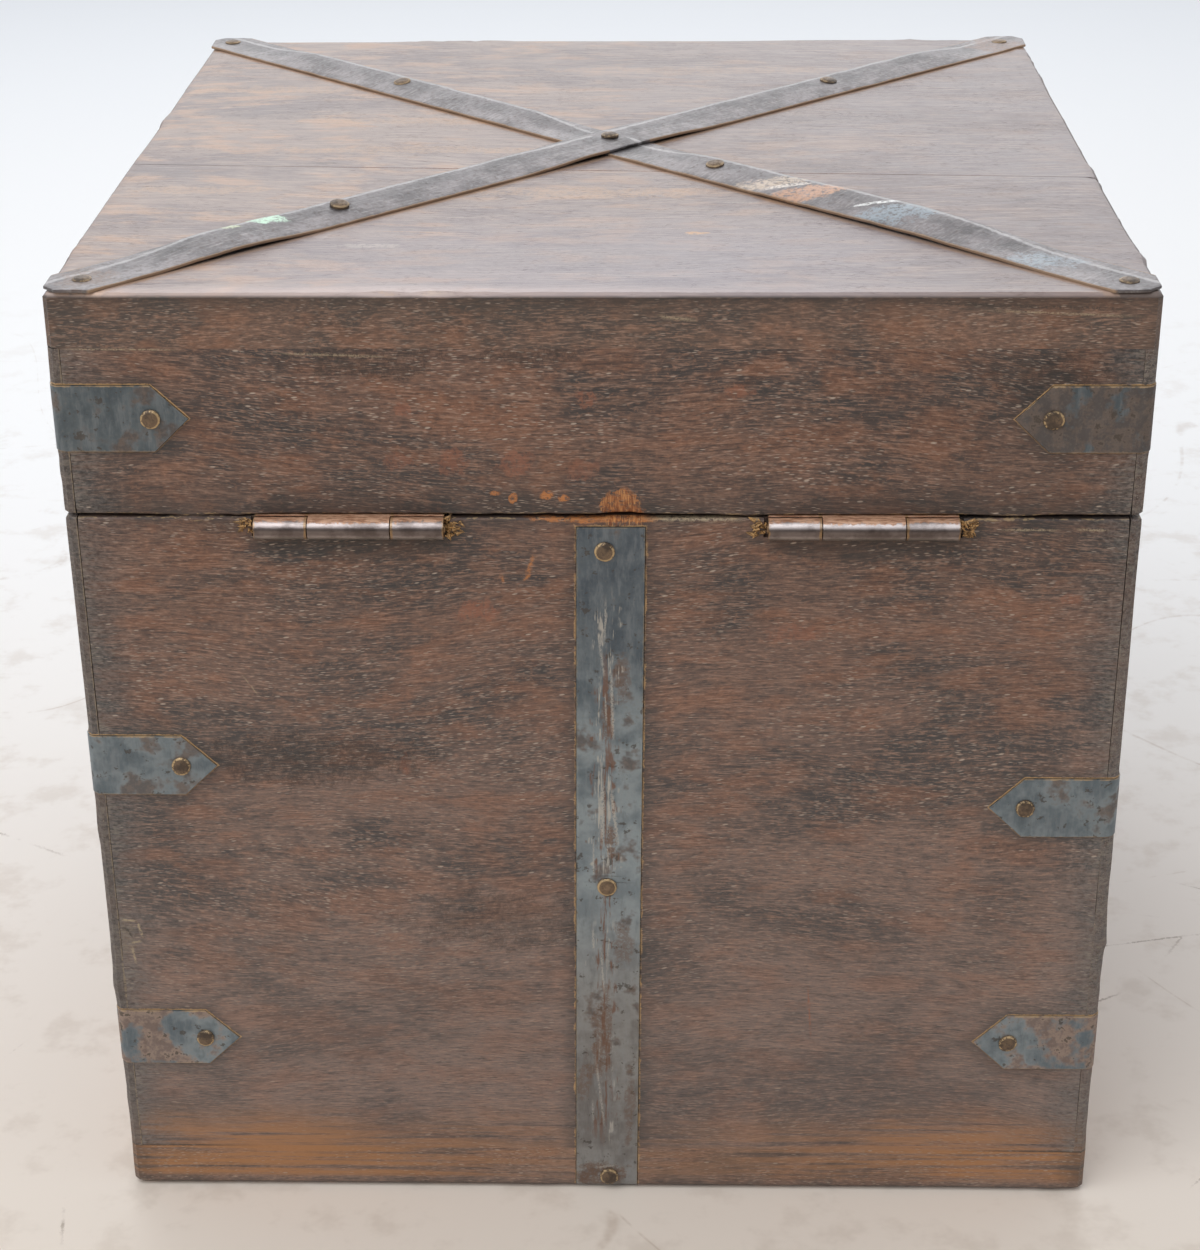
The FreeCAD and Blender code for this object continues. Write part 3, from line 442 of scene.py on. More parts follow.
# %% Finish for the walls and the lid's rails
def wall_wood(name, along_x, low, high, seed):
    finish = Finish(name)
    x, y, z = finish.xyz
    along, depth = (x, y) if along_x else (y, x)
    wood = figure(finish, along, z, depth, seed)
    colour = sapwood(finish, wood_colour(finish, wood), along, seed)
    inside = finish.from_axis.rise(half - 4, half - 6)
    cloud = finish.cloud(13, 4, 0.66, seed)
    dirt = gathered_dirt(finish, cloud) * (1 - inside)
    # a pale grey veil over the wood, stronger towards the foot: painted light
    painted_light_veil = z.rise(225, 30) * 0.03 + z.rise(225, 150) * 0.04 + 0.04
    dusted = wood.pore * (0.85 - z.rise(140, 50) * 0.45)

    # crumbs of raw wood along the seam, and where the corners are rubbed
    crumbs = finish.noise(x / 3 + seed, y / 3, z / 0.8, 2, 0.7)
    seam_line = (z - lid_underside + finish.fray * 0.8).rise(0.9, 0.5) * z.above(rim)
    seam_line = seam_line.most((rim - z + finish.fray).rise(0.8, 0.3) * (1 - z.above(rim)))
    seam_line = seam_line * (finish.from_axis + finish.fray).rise(half - 1.4, half - 0.7)
    dusty = (finish.from_corner + cloud * 20).rise(32, 8) * wood.grit.rise(0.36, 0.62) * (1 - inside)
    rubbed = (finish.from_corner + finish.fray * 6 + cloud * 8).rise(12.5, 5.5)
    rubbed = rubbed * crumbs.rise(0.50, 0.62) * (1 - inside)
    colour = finish.coats(
        colour,
        (dirt * 0.70, 48, 47, 46),
        (painted_light_veil, 162, 160, 160),
        (dusted, 190, 172, 156),
        # darker towards -X on the upper back: painted shade
        (x.rise(-50, -110) * y.above(0) * z.rise(185, 225) * 0.12, 44, 40, 38),
        (seam_line * crumbs.rise(0.52, 0.62) * 0.75, 176, 150, 112),
        (dusty * 0.28, 158, 156, 154),
        (rubbed * 0.5, 150, 142, 130),
    )
    if along_x:
        on_back = y.rise(half - 3, half - 2.5)
        marks = (between_levels(groups, low, high) for groups in (back_blotches, back_scratches))
        colour = old_marks(finish, colour, x, z, on_back, *marks)
        shreds = finish.noise(x / 0.45, y / 3, z / 3.5, 2, 0.6)
        chip_middle, reach, _ = CHIPS[0]
        chip = blotch(finish, x, z, chip_middle, lid_underside, reach[0], reach[1] + 0.6, 2) * on_back
        colour = finish.coats(
            colour,
            (chip * shreds.rise(0.50, 0.60) * 0.8, 128, 72, 40),
            (chip * shreds.rise(0.46, 0.36) * 0.6, 216, 158, 100),
        )
    else:
        lip = abs(y).rise(half - 1.2, half - 0.9)
        ends = finish.noise(x / 1.4, y / 3, z / 4, 4, 0.7)
        end_grain = finish.coats(paint(66, 62, 60), (ends.rise(0.36, 0.64), 108, 98, 92))
        lip_line = (abs(abs(x) - (half - lip_width)) + finish.fray * 0.7).rise(0.6, 0.2) * lip
        lip_line = lip_line * (x.rise(-20, 20) * 0.55 + 0.15)
        colour = finish.coats(
            colour,
            (lip * (x.rise(-20, 20) * 0.25 + 0.15), end_grain),
            (lip_line * crumbs.rise(0.36, 0.5), 150, 134, 112),
        )
    colour = finish.coats(raw_edges(finish, colour), (inside * 0.6, 120, 90, 66))     # the inside is bare
    rough = 0.43 + wood.patch * 0.12 + dirt * 0.18 + wood.pore * 0.2 + inside * 0.2
    relief = wood.fibre * 0.30 + wood.streak * 0.5 - wood.pore * 0.5 + cloud * 0.7
    return finish.surface(colour, rough, relief, 0.00024)


# %% [markdown]
# ## The top and bottom planks
# The top has been bleached and polished by hands and by what stood on it: greyish pink-brown, with
# warm tan streaks where the sapwood shows, and rubbed pale along the straps.

# %% The marks on the top
TAN, SMOKE, CHALK = paint(206, 164, 124), paint(112, 104, 104), paint(214, 202, 190)
top_blotches = (
    (TAN, (0.9, -25.5, 92.1, 3, 1.4), (0.55, 135, 143.2, 7, 2.6), (0.30, 115, -71, 34, 5),
     (0.30, 119, 49, 22, 4), (0.30, 58, 5, 46, 4), (0.22, -29, -98, 50, 5), (0.35, 2, 52, 34, 5),
     (0.30, 60, -30, 40, 4)),
    (SMOKE, (0.30, 108, -38, 22, 5), (0.28, -70, -36, 40, 9), (0.30, 131, 30, 12, 5),
     (0.30, -52, 24, 38, 8), (0.22, 20, 116, 60, 12)),
    (CHALK, (0.35, 64, 104, 8, 2)),
)
top_scratches = (
    (DARK, (0.8, 92, 20, 80, 19.6, 0.8), (0.6, 134, -15, 126, -16, 0.9)),
    (paint(118, 74, 62), (0.9, half, top_joint_right, -half, top_joint_left, 0.55)),
    (DARK, (0.6, 140, 46, 128, 45, 0.9), (0.5, -118, 4, -128, 5, 1.2), (0.5, -112, 62, -128, 58, 1.2),
     (0.4, -60, 30, -100, 31, 0.5)),
    (CHALK, (0.5, -30, 62, -46, 63, 0.5), (0.5, 20, 128, -24, 131, 0.4)),
    (TAN, (0.8, 70, 62, 50, 61, 0.5), (0.6, 66, 90, 40, 92, 0.5)),
)


# %% Finish for the planks
def plank_wood(name, on_top, seed):
    finish = Finish(name)
    x, y, z = finish.xyz
    fray = finish.fray
    wood = figure(finish, x, y, z, seed)
    cloud = finish.cloud(13, 4, 0.66, seed)
    warm = (x + finish.noise(x / 60, y / 40, seed) * 160).rise(-60, 190)
    pale = finish.coats(paint(142, 132, 133), (warm, 156, 138, 130))
    colour = finish.coats(
        finish.mix(wood.patch.rise(0.36, 0.60), paint(112, 97, 97), pale),
        (wood.red.rise(0.48, 0.66) * (warm * 0.6 + 0.15), 186, 148, 120),
        (wood.rings * 0.14, 122, 100, 96),
        (wood.streak.rise(0.46, 0.72) * 0.50, 188, 166, 152),
        (wood.streak.rise(0.46, 0.28) * 0.46, 98, 80, 79),
        (wood.fibre.rise(0.50, 0.74) * 0.20, 190, 174, 164),
        (wood.pore * 0.30, 96, 76, 72),
    )
    by_corner = (finish.from_corner + cloud * 16).rise(19, 5)
    walls = wood_colour(finish, wood)
    if on_top:
        side = (top - z).rise(0.5, 1.3)
        edge = half - finish.from_axis
        under_strap = abs(x - y).least(abs(x + y)) / math.sqrt(2) - CROSS_WIDTH / 2
        colour = finish.coats(
            colour,
            ((edge + cloud * 10).rise(10, 3) * 0.35, 104, 82, 76),
            ((under_strap + fray * 2 + cloud).rise(2.6, 1.2) * 0.45, 190, 152, 116),
            # under the crossed straps, where their edges stand off the wood, the wood is painted dark: painted
            # shadow
            ((under_strap + fray).rise(-0.9, -1.5) * 0.9, 40, 32, 28),
            # darker towards -X near the back edge of the top: painted shade
            (x.rise(-40, -110) * y.rise(70, 110) * 0.12, 96, 82, 80),
            # a cool pale tint on the middle of the top near its back edge: painted reflection
            (y.rise(50, 130) * abs(x - 10).rise(125, 40) * 0.30, 172, 168, 180),
        )
        colour = old_marks(finish, colour, x, y, 1, top_blotches, top_scratches)
        # the back arris of the top is rubbed pale, with a painted highlight along it; the pale strip beside it,
        # stronger towards +X, is painted sheen
        crumbs = finish.noise(x / 9, y / 3, z / 3, 2, 0.7)
        arris = (abs(half - y) + (top - z) + fray * 1.6).rise(0.9, 0.5) * crumbs.rise(0.40, 0.62)
        worn_arris_and_highlight = finish.coats(paint(226, 214, 206), (abs(x + 20).rise(40, 90), 204, 170, 138))
        colour = finish.coats(
            colour,
            (y.rise(half - 9, half - 1) * (x.rise(-60, 60) * 0.28 + 0.14), 240, 216, 206),
            (arris * 0.6, worn_arris_and_highlight),
        )
        soot = (top - z + cloud * 14).rise(16, 6).most(by_corner)
        # a dark band on the back face just under the top's arris, stronger towards -X: painted shade
        painted_shade_under_arris = (top - z + cloud * 2 - 1).rise(4.2, 0.4) * y.above(0)
        walls = finish.coats(walls, (soot * 0.62, 44, 41, 39))
        walls = old_marks(finish, walls, x, z, y.rise(half - 3, half - 2.5), (),
                          between_levels(back_scratches, rail_top - 2, top))
    else:
        side = z.rise(0.2, 1)
        soot = (z + cloud * 6).rise(7, 3).most(by_corner)
        walls = finish.coats(sapwood(finish, walls, x, 3), (soot * 0.7, 42, 40, 38))
    # a pale veil over the planks' sides: painted light; then dust in the pores
    walls = finish.coats(walls, (0.1, 176, 156, 140), (wood.pore * 0.6, 190, 170, 152))
    if on_top:
        walls = finish.coats(walls, (painted_shade_under_arris * (0.5 - x.rise(-60, 60) * 0.2), 40, 34, 34))
    colour = finish.mix(side, colour, raw_edges(finish, walls))
    rough = 0.34 + wood.patch * 0.14 + side * 0.12
    relief = wood.fibre * 0.2 + wood.streak * 0.5 - wood.pore * 0.5 + cloud * 0.7
    return finish.surface(colour, rough, relief, 0.0002)


# %% [markdown]
# ## Iron
# Hoop iron keeps a blue-grey skin from the forge, under brown and olive rust. It is not mirror-like,
# so most of its colour comes from the skin, with a metallic share for its cold sheen. The lower a
# strap sits, the more damp it has met and the browner it is. The centre strap's middle, which bulges
# a little, has been scraped white by whatever the chest was pushed against.

# %% Finish for the flat straps
SCRAPED, RUST, OXIDE = paint(190, 186, 178), paint(112, 84, 66), paint(56, 54, 52)
centre_scratches = (
    (SCRAPED, (0.65, 1.2, 201, 1.6, 184, 0.45), (0.6, 3.4, 190, 1.2, 173, 0.55),
     (0.8, -0.2, 180, -1.2, 153, 0.6), (0.7, 1.4, 172, 0.8, 160, 0.4), (0.9, 1.9, 146, 1.9, 119, 0.95),
     (0.85, -0.2, 143, -2.8, 119.5, 0.8), (0.7, 4.4, 124.5, 4.3, 110, 0.35), (0.7, 4.5, 95, 4.2, 85, 0.5),
     (0.7, 2.2, 88, 1, 69.5, 0.5), (0.6, 3.8, 51, 0.4, 20, 0.55), (0.5, 4.4, 34, 4.2, 24, 0.4),
     (0.6, -3.4, 9, 4, 8, 0.7)),
    (OXIDE, (0.6, 8, 109.6, -8, 109.2, 0.35), (0.6, 6, 111.6, -5, 111.4, 0.25)),
)
centre_blotches = (
    (RUST, (0.75, -0.6, 124, 1.6, 6), (0.55, 0.6, 164, 1.8, 9), (0.6, 1.6, 56, 2.8, 17),
     (0.5, -4.2, 88, 3, 8), (0.45, -3.4, 176, 2.2, 9), (0.7, 1.4, 5, 8, 5), (0.5, 6.6, 42, 2.2, 8),
     (0.5, -6.8, 30, 1.6, 14)),
)


def strap_iron(name):
    finish = Finish(name)
    x, y, z = finish.xyz
    past, height = past_corner_straps(finish)
    across = from_centre_line(finish)
    on_centre = abs(across).rise(strap_half + 3, strap_half + 2)
    cloud = finish.cloud(11, 4, 0.6, 3)
    blot = finish.cloud(3.4, 3, 0.7, 7)
    fine = finish.cloud(0.7, 2, 0.5)
    brushed = finish.noise(x / 2, y / 2, z / 9, 3, 0.7)
    damp = (z - lower_strap).rise(60, 10) * (1 - on_centre)
    left_lid = z.above(rim) * (1 - x.above(0))
    by_nail = abs(finish.from_corner - NAIL_FROM_CORNER).rise(13, 5)
    rust = (cloud + damp * (0.08 - by_nail * 0.11) + left_lid * 0.12 - on_centre * 0.09).rise(0.49, 0.60)
    two_browns = blot.rise(0.40, 0.58)
    brown = finish.coats(
        paint(84, 72, 66),
        (two_browns, 108, 90, 78),
        (damp, finish.coats(paint(122, 96, 82), (two_browns, 156, 130, 112))),
    )
    spots = blot.rise(0.60, 0.66)

    # the bulging middle of the centre strap is scraped in jagged stripes, with rust down the middle
    worn_line = (abs(across - 1) + finish.tatter * 16).rise(3.6, 1.6)
    stripes = finish.noise(across / 1.3 + 5, y / 3, z / 17, 4, 0.66)
    bare = stripes.rise(0.55, 0.62) * z.rise(66, 100) * z.rise(205, 190) * (1 - abs(z - 104).rise(12, 6))
    low_bare = stripes.rise(0.58, 0.64) * z.rise(14, 24) * z.rise(62, 50)
    centre_rust = stripes.rise(0.50, 0.42) * z.rise(12, 30) * z.rise(190, 170)
    colour = finish.coats(
        paint(100, 112, 120),
        (cloud.rise(0.36, 0.64), 146, 157, 162),
        (z.above(rim) * 0.60, 68, 77, 83),
        (on_centre * z.rise(150, 200) * 0.66, 62, 72, 84),
        (on_centre * z.rise(150, 120) * z.rise(60, 90) * 0.30, 160, 172, 178),
        (on_centre * z.rise(110, 60) * 0.34, 150, 126, 104),
        (brushed.rise(0.45, 0.70) * 0.30, 150, 156, 160),
        (brushed.rise(0.46, 0.30) * 0.22, 66, 70, 74),
        (rust * 0.80, brown),
        (spots * 0.75, 74, 66, 58),
        (worn_line * centre_rust * on_centre * 0.8, 118, 84, 66),
        (worn_line * bare.most(low_bare * 0.8) * on_centre * 0.85, SCRAPED),
        (fine.rise(0.52, 0.8) * 0.22, 138, 134, 126),
    )
    colour = old_marks(finish, colour, across, z, on_centre * y.above(0), centre_blotches, centre_scratches)

    # the edges are rubbed bright, and more along the upper side of a strap, where a painted highlight stands for
    # the light that the edge catches from above
    edge, centre_edge = (
        (outside + finish.fray * 1).rise(-0.38, -0.12) for outside in (past, past_centre_strap(finish))
    )
    upper = height.rise(-4, 2) * 0.5 + 0.25
    crumbs = finish.cloud(3, 2, 0.7).rise(0.36, 0.60)
    colour = finish.coats(
        colour,
        (edge * (1 - on_centre) * upper * crumbs, 190, 164, 128),
        (centre_edge * on_centre * crumbs * 0.45, 160, 148, 126),
    )
    dull = rust.most(spots)
    relief = cloud * 0.8 + fine * 0.25 + brushed * 0.2
    return finish.surface(colour, 0.42 + dull * 0.3, relief, 0.00016, 0.45 - dull * 0.35)


# %% [markdown]
# The crossed straps are darker, with a painted highlight along the ridge, painted shade beside it
# and painted light on the side towards the back. Two places carry what once dripped on them: a pale
# green smear and a patch of orange rust.

# %% Finishes for the crossed straps, nails, hinges and hasp
BLUED = paint(142, 154, 162)
scuffs = (
    (BLUED, (0.75, -82, 84, 12, 6), (0.7, -116, 121, 11, 6)),
    (paint(196, 150, 118), (0.7, -58, 62, 12, 5)),
    (paint(206, 186, 164), (0.6, -46, 51, 11, 4)),
    (paint(214, 204, 194), (0.8, -52, 55, 6, 1.2)),
    (paint(222, 222, 220), (0.8, -79, 76, 8, 1)),
    (paint(182, 212, 190), (0.95, 96, 89, 8.5, 3.8)),
    (paint(196, 206, 168), (0.7, 104, 96.6, 4, 2.4)),
    (paint(132, 104, 88), (0.6, -134, -132, 10, 10)),
    (paint(118, 92, 74), (0.5, 134, 134, 9, 9)),
)


def cross_iron(name):
    finish = Finish(name)
    x, y, z = finish.xyz
    cloud = finish.cloud(12, 4, 0.65)
    fine = finish.cloud(1.2, 3, 0.65)
    brushed = finish.noise((x + y) / 9, (x - y) / 1.2, z / 2, 3, 0.6)
    off_middle = abs(x - y).least(abs(x + y)) / math.sqrt(2)
    on_over = abs(x + y).above(abs(x - y))
    towards_back = ((x + y) + on_over * ((y - x) - (x + y))) / math.sqrt(2)
    ridge = (abs(towards_back + RIDGE_OFFSET) + finish.fray * 2).rise(1.2, 0.3)
    edge = (off_middle + finish.fray * 1).rise(CROSS_WIDTH / 2 - 0.7, CROSS_WIDTH / 2 - 0.1)
    colour = finish.coats(
        paint(86, 82, 83),
        (cloud.rise(0.38, 0.62), 120, 114, 115),
        (fine.rise(0.52, 0.70) * 0.45, 104, 88, 80),
        (fine.rise(0.46, 0.32) * 0.35, 150, 148, 150),
        (brushed.rise(0.48, 0.70) * 0.40, 158, 152, 150),
        # painted shade on the slope beside the ridge, painted light on the side towards the back, and a painted
        # highlight along the ridge
        (towards_back.rise(-4.5, -3) * towards_back.rise(4, 0) * 0.34, 66, 64, 66),
        (towards_back.rise(1, 7) * 0.14, 168, 162, 162),
        (ridge * 0.40, 190, 188, 188),
    )
    colour = old_marks(finish, colour, x, y, 1, scuffs)
    colour = finish.coats(colour, (edge * 0.75, 172, 142, 112))
    dull = fine.rise(0.52, 0.72).most(edge)
    relief = cloud * 0.7 + fine * 0.4 + brushed * 0.2
    return finish.surface(colour, 0.40 + dull * 0.22, relief, 0.0002, 0.55 - dull * 0.3)


def nail_iron(name):
    finish = Finish(name)
    rim_share = finish.node("ShaderNodeAttribute", {"attribute_name": "rim"}, {}, output="Fac")
    cloud = finish.cloud(5, 3, 0.65)
    fine = finish.cloud(0.6, 3, 0.65)
    ring = rim_share.rise(0.74, 0.86) * rim_share.rise(1.04, 0.94) * (fine + cloud).rise(0.88, 1.06)
    on_lid_top = finish.z.above(top + 1)
    colour = finish.coats(
        paint(84, 72, 62),
        (cloud.rise(0.36, 0.62), 126, 106, 86),
        (fine.rise(0.50, 0.68) * 0.6, 66, 56, 48),
        (ring * (0.85 - on_lid_top * 0.5), 206, 178, 134),
        (rim_share.rise(0.36, 0.10) * cloud.rise(0.56, 0.64), 220, 190, 160),
    )
    dull = fine.rise(0.50, 0.70)
    return finish.surface(colour, 0.44 + dull * 0.2, cloud * 0.6 + fine * 0.5, 0.0002, 0.5 - dull * 0.3)


def hinge_steel(name):
    finish = Finish(name)
    x, y, z = finish.xyz
    cloud = finish.cloud(7, 4, 0.65)
    fine = finish.noise(x / 3, y / 0.6, z / 0.6, 3, 0.65)
    from_middle = abs(x - hinge_middles[0]).least(abs(x - hinge_middles[1]))
    knuckle = hinge_half - END_KNUCKLE
    height = z - hinge_line
    # a painted highlight along the upper part of each barrel, stronger towards -X
    painted_highlight = abs(height - 1.9).rise(1.1, 0.3) * (0.55 - x.rise(-20, 20) * 0.35)
    roof = (height + finish.fray * 2 - from_middle.above(knuckle) * 0.25).rise(2.1, 2.5)
    rust = finish.coats(paint(166, 116, 84), (fine.rise(0.4, 0.6), 226, 180, 146))
    packed_dust = (abs(from_middle - knuckle) + finish.fray * 1.2).rise(0.55, 0.2)
    packed_dust = packed_dust.most((hinge_half - from_middle + finish.fray * 1.6).rise(0.9, 0.4))
    colour = finish.coats(
        paint(118, 107, 104),
        (cloud.rise(0.38, 0.62), 162, 150, 147),
        (fine.rise(0.54, 0.74) * 0.35, 92, 72, 62),
        # painted shade along the barrel's middle, and a painted reflection along its lower side
        (abs(height).rise(1.5, 0.6) * 0.55, 64, 54, 50),
        ((height + finish.fray * 0.6).rise(-1.3, -1.8) * 0.4, 170, 166, 156),
        (painted_highlight * (cloud.rise(0.3, 0.6) * 0.6 + 0.4), 240, 232, 230),
        (roof * 0.85, rust),
        (packed_dust * 0.7, 160, 128, 88),
    )
    dull = (fine.rise(0.54, 0.76) * 0.7).most(roof)
    return finish.surface(colour, 0.36 + dull * 0.24, cloud * 0.6 + fine * 0.3, 0.0001, 0.85 - dull * 0.55)


def forged_iron(name):
    """Plain dark iron with rust in patches."""
    finish = Finish(name)
    cloud = finish.cloud(12, 4, 0.65)
    fine = finish.cloud(1.4, 3, 0.65)
    dull = fine.rise(0.52, 0.70)
    colour = finish.coats(
        paint(70, 66, 64), (cloud.rise(0.35, 0.62), 104, 98, 94), (dull * 0.6, 96, 74, 60)
    )
    return finish.surface(colour, 0.45 + dull * 0.25, cloud * 0.7 + fine * 0.4, 0.0002, 0.6 - dull * 0.4)


# %% Put the finishes on the CAD nodes
finishes = {
    "body_x": wall_wood("body_wood_along_x", True, 0, rim, 3),
    "body_y": wall_wood("body_wood_along_y", False, 0, rim, 8),
    "lid_x": wall_wood("lid_wood_along_x", True, rim, rail_top + 2, 6),
    "lid_y": wall_wood("lid_wood_along_y", False, rim, rail_top + 2, 4),
    "top": plank_wood("top_wood", True, 5),
    "bottom": plank_wood("bottom_wood", False, 2),
    "strap": strap_iron("strap_iron"),
    "cross": cross_iron("cross_strap_iron"),
    "nail": nail_iron("nail_iron"),
    "hinge": hinge_steel("hinge_steel"),
    "hasp": forged_iron("hasp_iron"),
}


def finish_for(node):
    """The first word that is in a node's name decides."""
    for word, name in (
        ("hinge", "hinge"), ("nails", "nail"), ("cross", "cross"), ("strap", "strap"), ("hasp", "hasp"),
        ("lock", "hasp"), ("top_plank", "top"), ("bottom_plank", "bottom"),
    ):
        if word in node:
            return finishes[name]
    along = "_y" if "left" in node or "right" in node else "_x"
    return finishes[("lid" if node.startswith("lid") else "body") + along]


for node, cad_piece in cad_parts.items():
    cad_piece.data.materials.clear()
    cad_piece.data.materials.append(finish_for(node))
print(len(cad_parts), "nodes finished with", len(finishes), "materials")

# %% [markdown]
# ## Working on a piece as by hand
# The operators of edit mode act on what is selected, and a loaded model starts with all of it
# selected. So each step clears the selection, picks faces or points by their place, and then works.

# %% Helpers for edit mode
def deselect():
    if bpy.context.object and bpy.context.object.mode != "OBJECT":
        bpy.ops.object.mode_set(mode="OBJECT")
    bpy.ops.object.select_all(action="DESELECT")


def pick(*pieces):
    deselect()
    for piece in pieces:
        piece.select_set(True)
    bpy.context.view_layer.objects.active = pieces[0]


def edit(piece):
    pick(piece)
    bpy.ops.object.mode_set(mode="EDIT")


def join(pieces, name):
    pick(*pieces)
    bpy.ops.object.join()
    pieces[0].name = name
    return pieces[0]


def choose(piece, mode, parts, test):
    bpy.ops.mesh.select_mode(type=mode)
    bpy.ops.mesh.select_all(action="DESELECT")
    mesh = bmesh.from_edit_mesh(piece.data)
    for part in getattr(mesh, parts):
        part.select = not part.hide and test(part)
    mesh.select_flush_mode()
    bmesh.update_edit_mesh(piece.data)


def choose_faces(piece, test):
    """Select the faces whose middle, in mm, and normal pass a test."""
    choose(piece, "FACE", "faces", lambda face: test(face.calc_center_median() / MM, face.normal))


def choose_points(piece, test):
    """Select the points whose place, in mm, passes a test."""
    choose(piece, "VERT", "verts", lambda point: test(point.co / MM))


def saw(place, across, clear_outer=False):
    """Cut everything in view along a plane at a place in mm."""
    bpy.ops.mesh.select_all(action="SELECT")
    bpy.ops.mesh.bisect(plane_co=Vector(place) * MM, plane_no=across, clear_outer=clear_outer)


def saw_square(axis, level):
    """Cut everything in view square to an axis."""
    across = Vector([n == axis for n in range(3)])
    saw(across * level, across)


def apply_modifier(piece, kind, **settings):
    pick(piece)
    modifier = piece.modifiers.new(kind.lower(), kind)
    for name, value in settings.items():
        setattr(modifier, name, value)
    bpy.ops.object.modifier_apply(modifier=modifier.name)


def displace(piece, texture, strength, mid_level, group=""):
    """Push points along their normals, in mm, by a cloudy texture."""
    apply_modifier(
        piece, "DISPLACE", texture=texture, strength=strength * MM, mid_level=mid_level, vertex_group=group,
        texture_coords="LOCAL", direction="NORMAL",
    )


def clouds(name, size, force=1):
    """A cloudy texture for displace, size in mm."""
    texture = bpy.data.textures.new(name, "CLOUDS")
    texture.noise_scale = size * MM
    texture.noise_depth = 2
    texture.contrast = texture.intensity = force
    return texture


def settle(piece, finish, body, node):
    """Give a finished piece its material, its body and the CAD node it stands for."""
    pick(piece)
    bpy.ops.object.shade_smooth_by_angle(angle=math.radians(35))
    piece.data.materials.clear()
    piece.data.materials.append(finish)
    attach(piece, body)
    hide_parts(node)


# %% [markdown]
# ## Worn boards
# A CAD board has dead straight arrises. On a chest that has been carried about for a century they
# wander, and knocks have taken small bites out of them. A bump map can't change an outline, so each
# board is copied, its triangles are merged back into faces, and only the strips next to its outer
# arrises are sawn fine. Two displacements then push those points inwards: a slow wander and sparse
# nicks. The joints and the straps' housings keep their exact shape, because their points weigh 0.

# %% Wear for the arrises
wander, nicks = clouds("wander", 95), clouds("nicks", 7, force=2)
WORN_STRIP = 6.5                                 # how far from an arris wear reaches
ON_FACE = 1.6                                    # how far from an outer face a point may lie
FINE_CUTS = (0.9, 2.1, 4, WORN_STRIP)
STEP = 2.4                                       # between cuts along an arris


def arris_gaps(p, low, high):
    """Distances from a place to the outer faces of the lid or the body, smallest first."""
    return sorted((half - abs(p.x), half - abs(p.y), min(p.z - low, high - p.z)))


def on_strap(p):
    from_corner = 2 * half - abs(p.x) - abs(p.y)
    upper = upper_strap_right if p.x > 0 else upper_strap_left
    near = min(abs(p.z - level) for level in (lid_strap, upper, lower_strap))
    return (near < strap_half + 1.5 and from_corner < strap_reach) or (
        abs(p.x - (centre_foot + centre_top) / 2) < strap_half + 4 and p.z < centre_end + 2
    )


def break_chip_out(piece, chip_middle, reach, depth):
    """Push the points of an ellipse on the back in, deepest at the arris."""
    for point in piece.data.vertices:
        place = point.co / MM
        u, v = (place.x - chip_middle) / reach[0], (place.z - lid_underside) / reach[1]
        if place.y > half - 2 and u * u + v * v < 1:
            ragged = 0.75 + 0.6 * noise.noise(place / 1.7)
            point.co.y -= depth * ragged * (1 - u * u - v * v) ** 0.5 * MM


def worn_board(node, body):
    low, high = (0, rim) if body == "body" else (lid_underside, top)
    piece = bpy.data.objects.new("worn_" + node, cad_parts[node].data.copy())
    bpy.context.scene.collection.objects.link(piece)
    edit(piece)
    bpy.ops.mesh.customdata_custom_splitnormals_clear()
    bpy.ops.mesh.select_all(action="SELECT")
    bpy.ops.mesh.remove_doubles(threshold=0.01 * MM)
    bpy.ops.mesh.dissolve_limited(angle_limit=math.radians(0.5))
    start, end = corners(node)
    for axis, planes in enumerate(((-half, half), (-half, half), (low, high))):
        for plane, inward in zip(planes, (1, -1)):
            for cut in FINE_CUTS:
                if start[axis] < plane + inward * cut < end[axis]:
                    saw_square(axis, plane + inward * cut)

    def in_strip(face_middle, normal):
        gaps = arris_gaps(face_middle, low, high)
        return gaps[0] < ON_FACE and gaps[1] < WORN_STRIP

    choose_faces(piece, in_strip)
    bpy.ops.mesh.hide(unselected=True)
    for axis in range(3):
        cuts = int((end[axis] - start[axis] - 2 * WORN_STRIP) / STEP)
        for n in range(1, cuts):
            saw_square(axis, start[axis] + WORN_STRIP + n * STEP)
    bpy.ops.mesh.reveal()
    deselect()

    worn, nicked = (piece.vertex_groups.new(name=name) for name in ("worn", "nicked"))
    for point in piece.data.vertices:
        place = point.co / MM
        gaps = arris_gaps(place, low, high)
        share = max(0, 1 - gaps[1] / WORN_STRIP) if gaps[0] < ON_FACE and not on_strap(place) else 0
        knocked = min(1, max(0, 1.7 * noise.noise(place / 31) + 0.5 * noise.noise(place / 8) - 0.14))
        if place.z < WORN_STRIP:                 # the chest stands on these arrises, so they stay true
            share = share * 0.3
        worn.add([point.index], share * share, "REPLACE")
        nicked.add([point.index], share * knocked, "REPLACE")
    displace(piece, wander, 1.5, 0.7, "worn")
    displace(piece, nicks, 1.4, 1, "nicked")
    if node == "lid_back_rail":
        for chip in CHIPS:
            break_chip_out(piece, *chip)
    settle(piece, finish_for(node), body, node)
    print(piece.name, len(piece.data.polygons), "faces")


for body, slot, nodes in (
    ("body", "body_wood", ("body_back_board", "body_front_board", "body_right_board", "body_left_board")),
    ("body", "bottom_wood", ("bottom_plank_back", "bottom_plank_front")),
    ("lid", "lid_wood", ("lid_back_rail", "lid_front_rail", "lid_right_rail", "lid_left_rail")),
    ("lid", "top_wood", ("top_plank_back", "top_plank_front")),
):
    for node in nodes:
        worn_board(node, body)

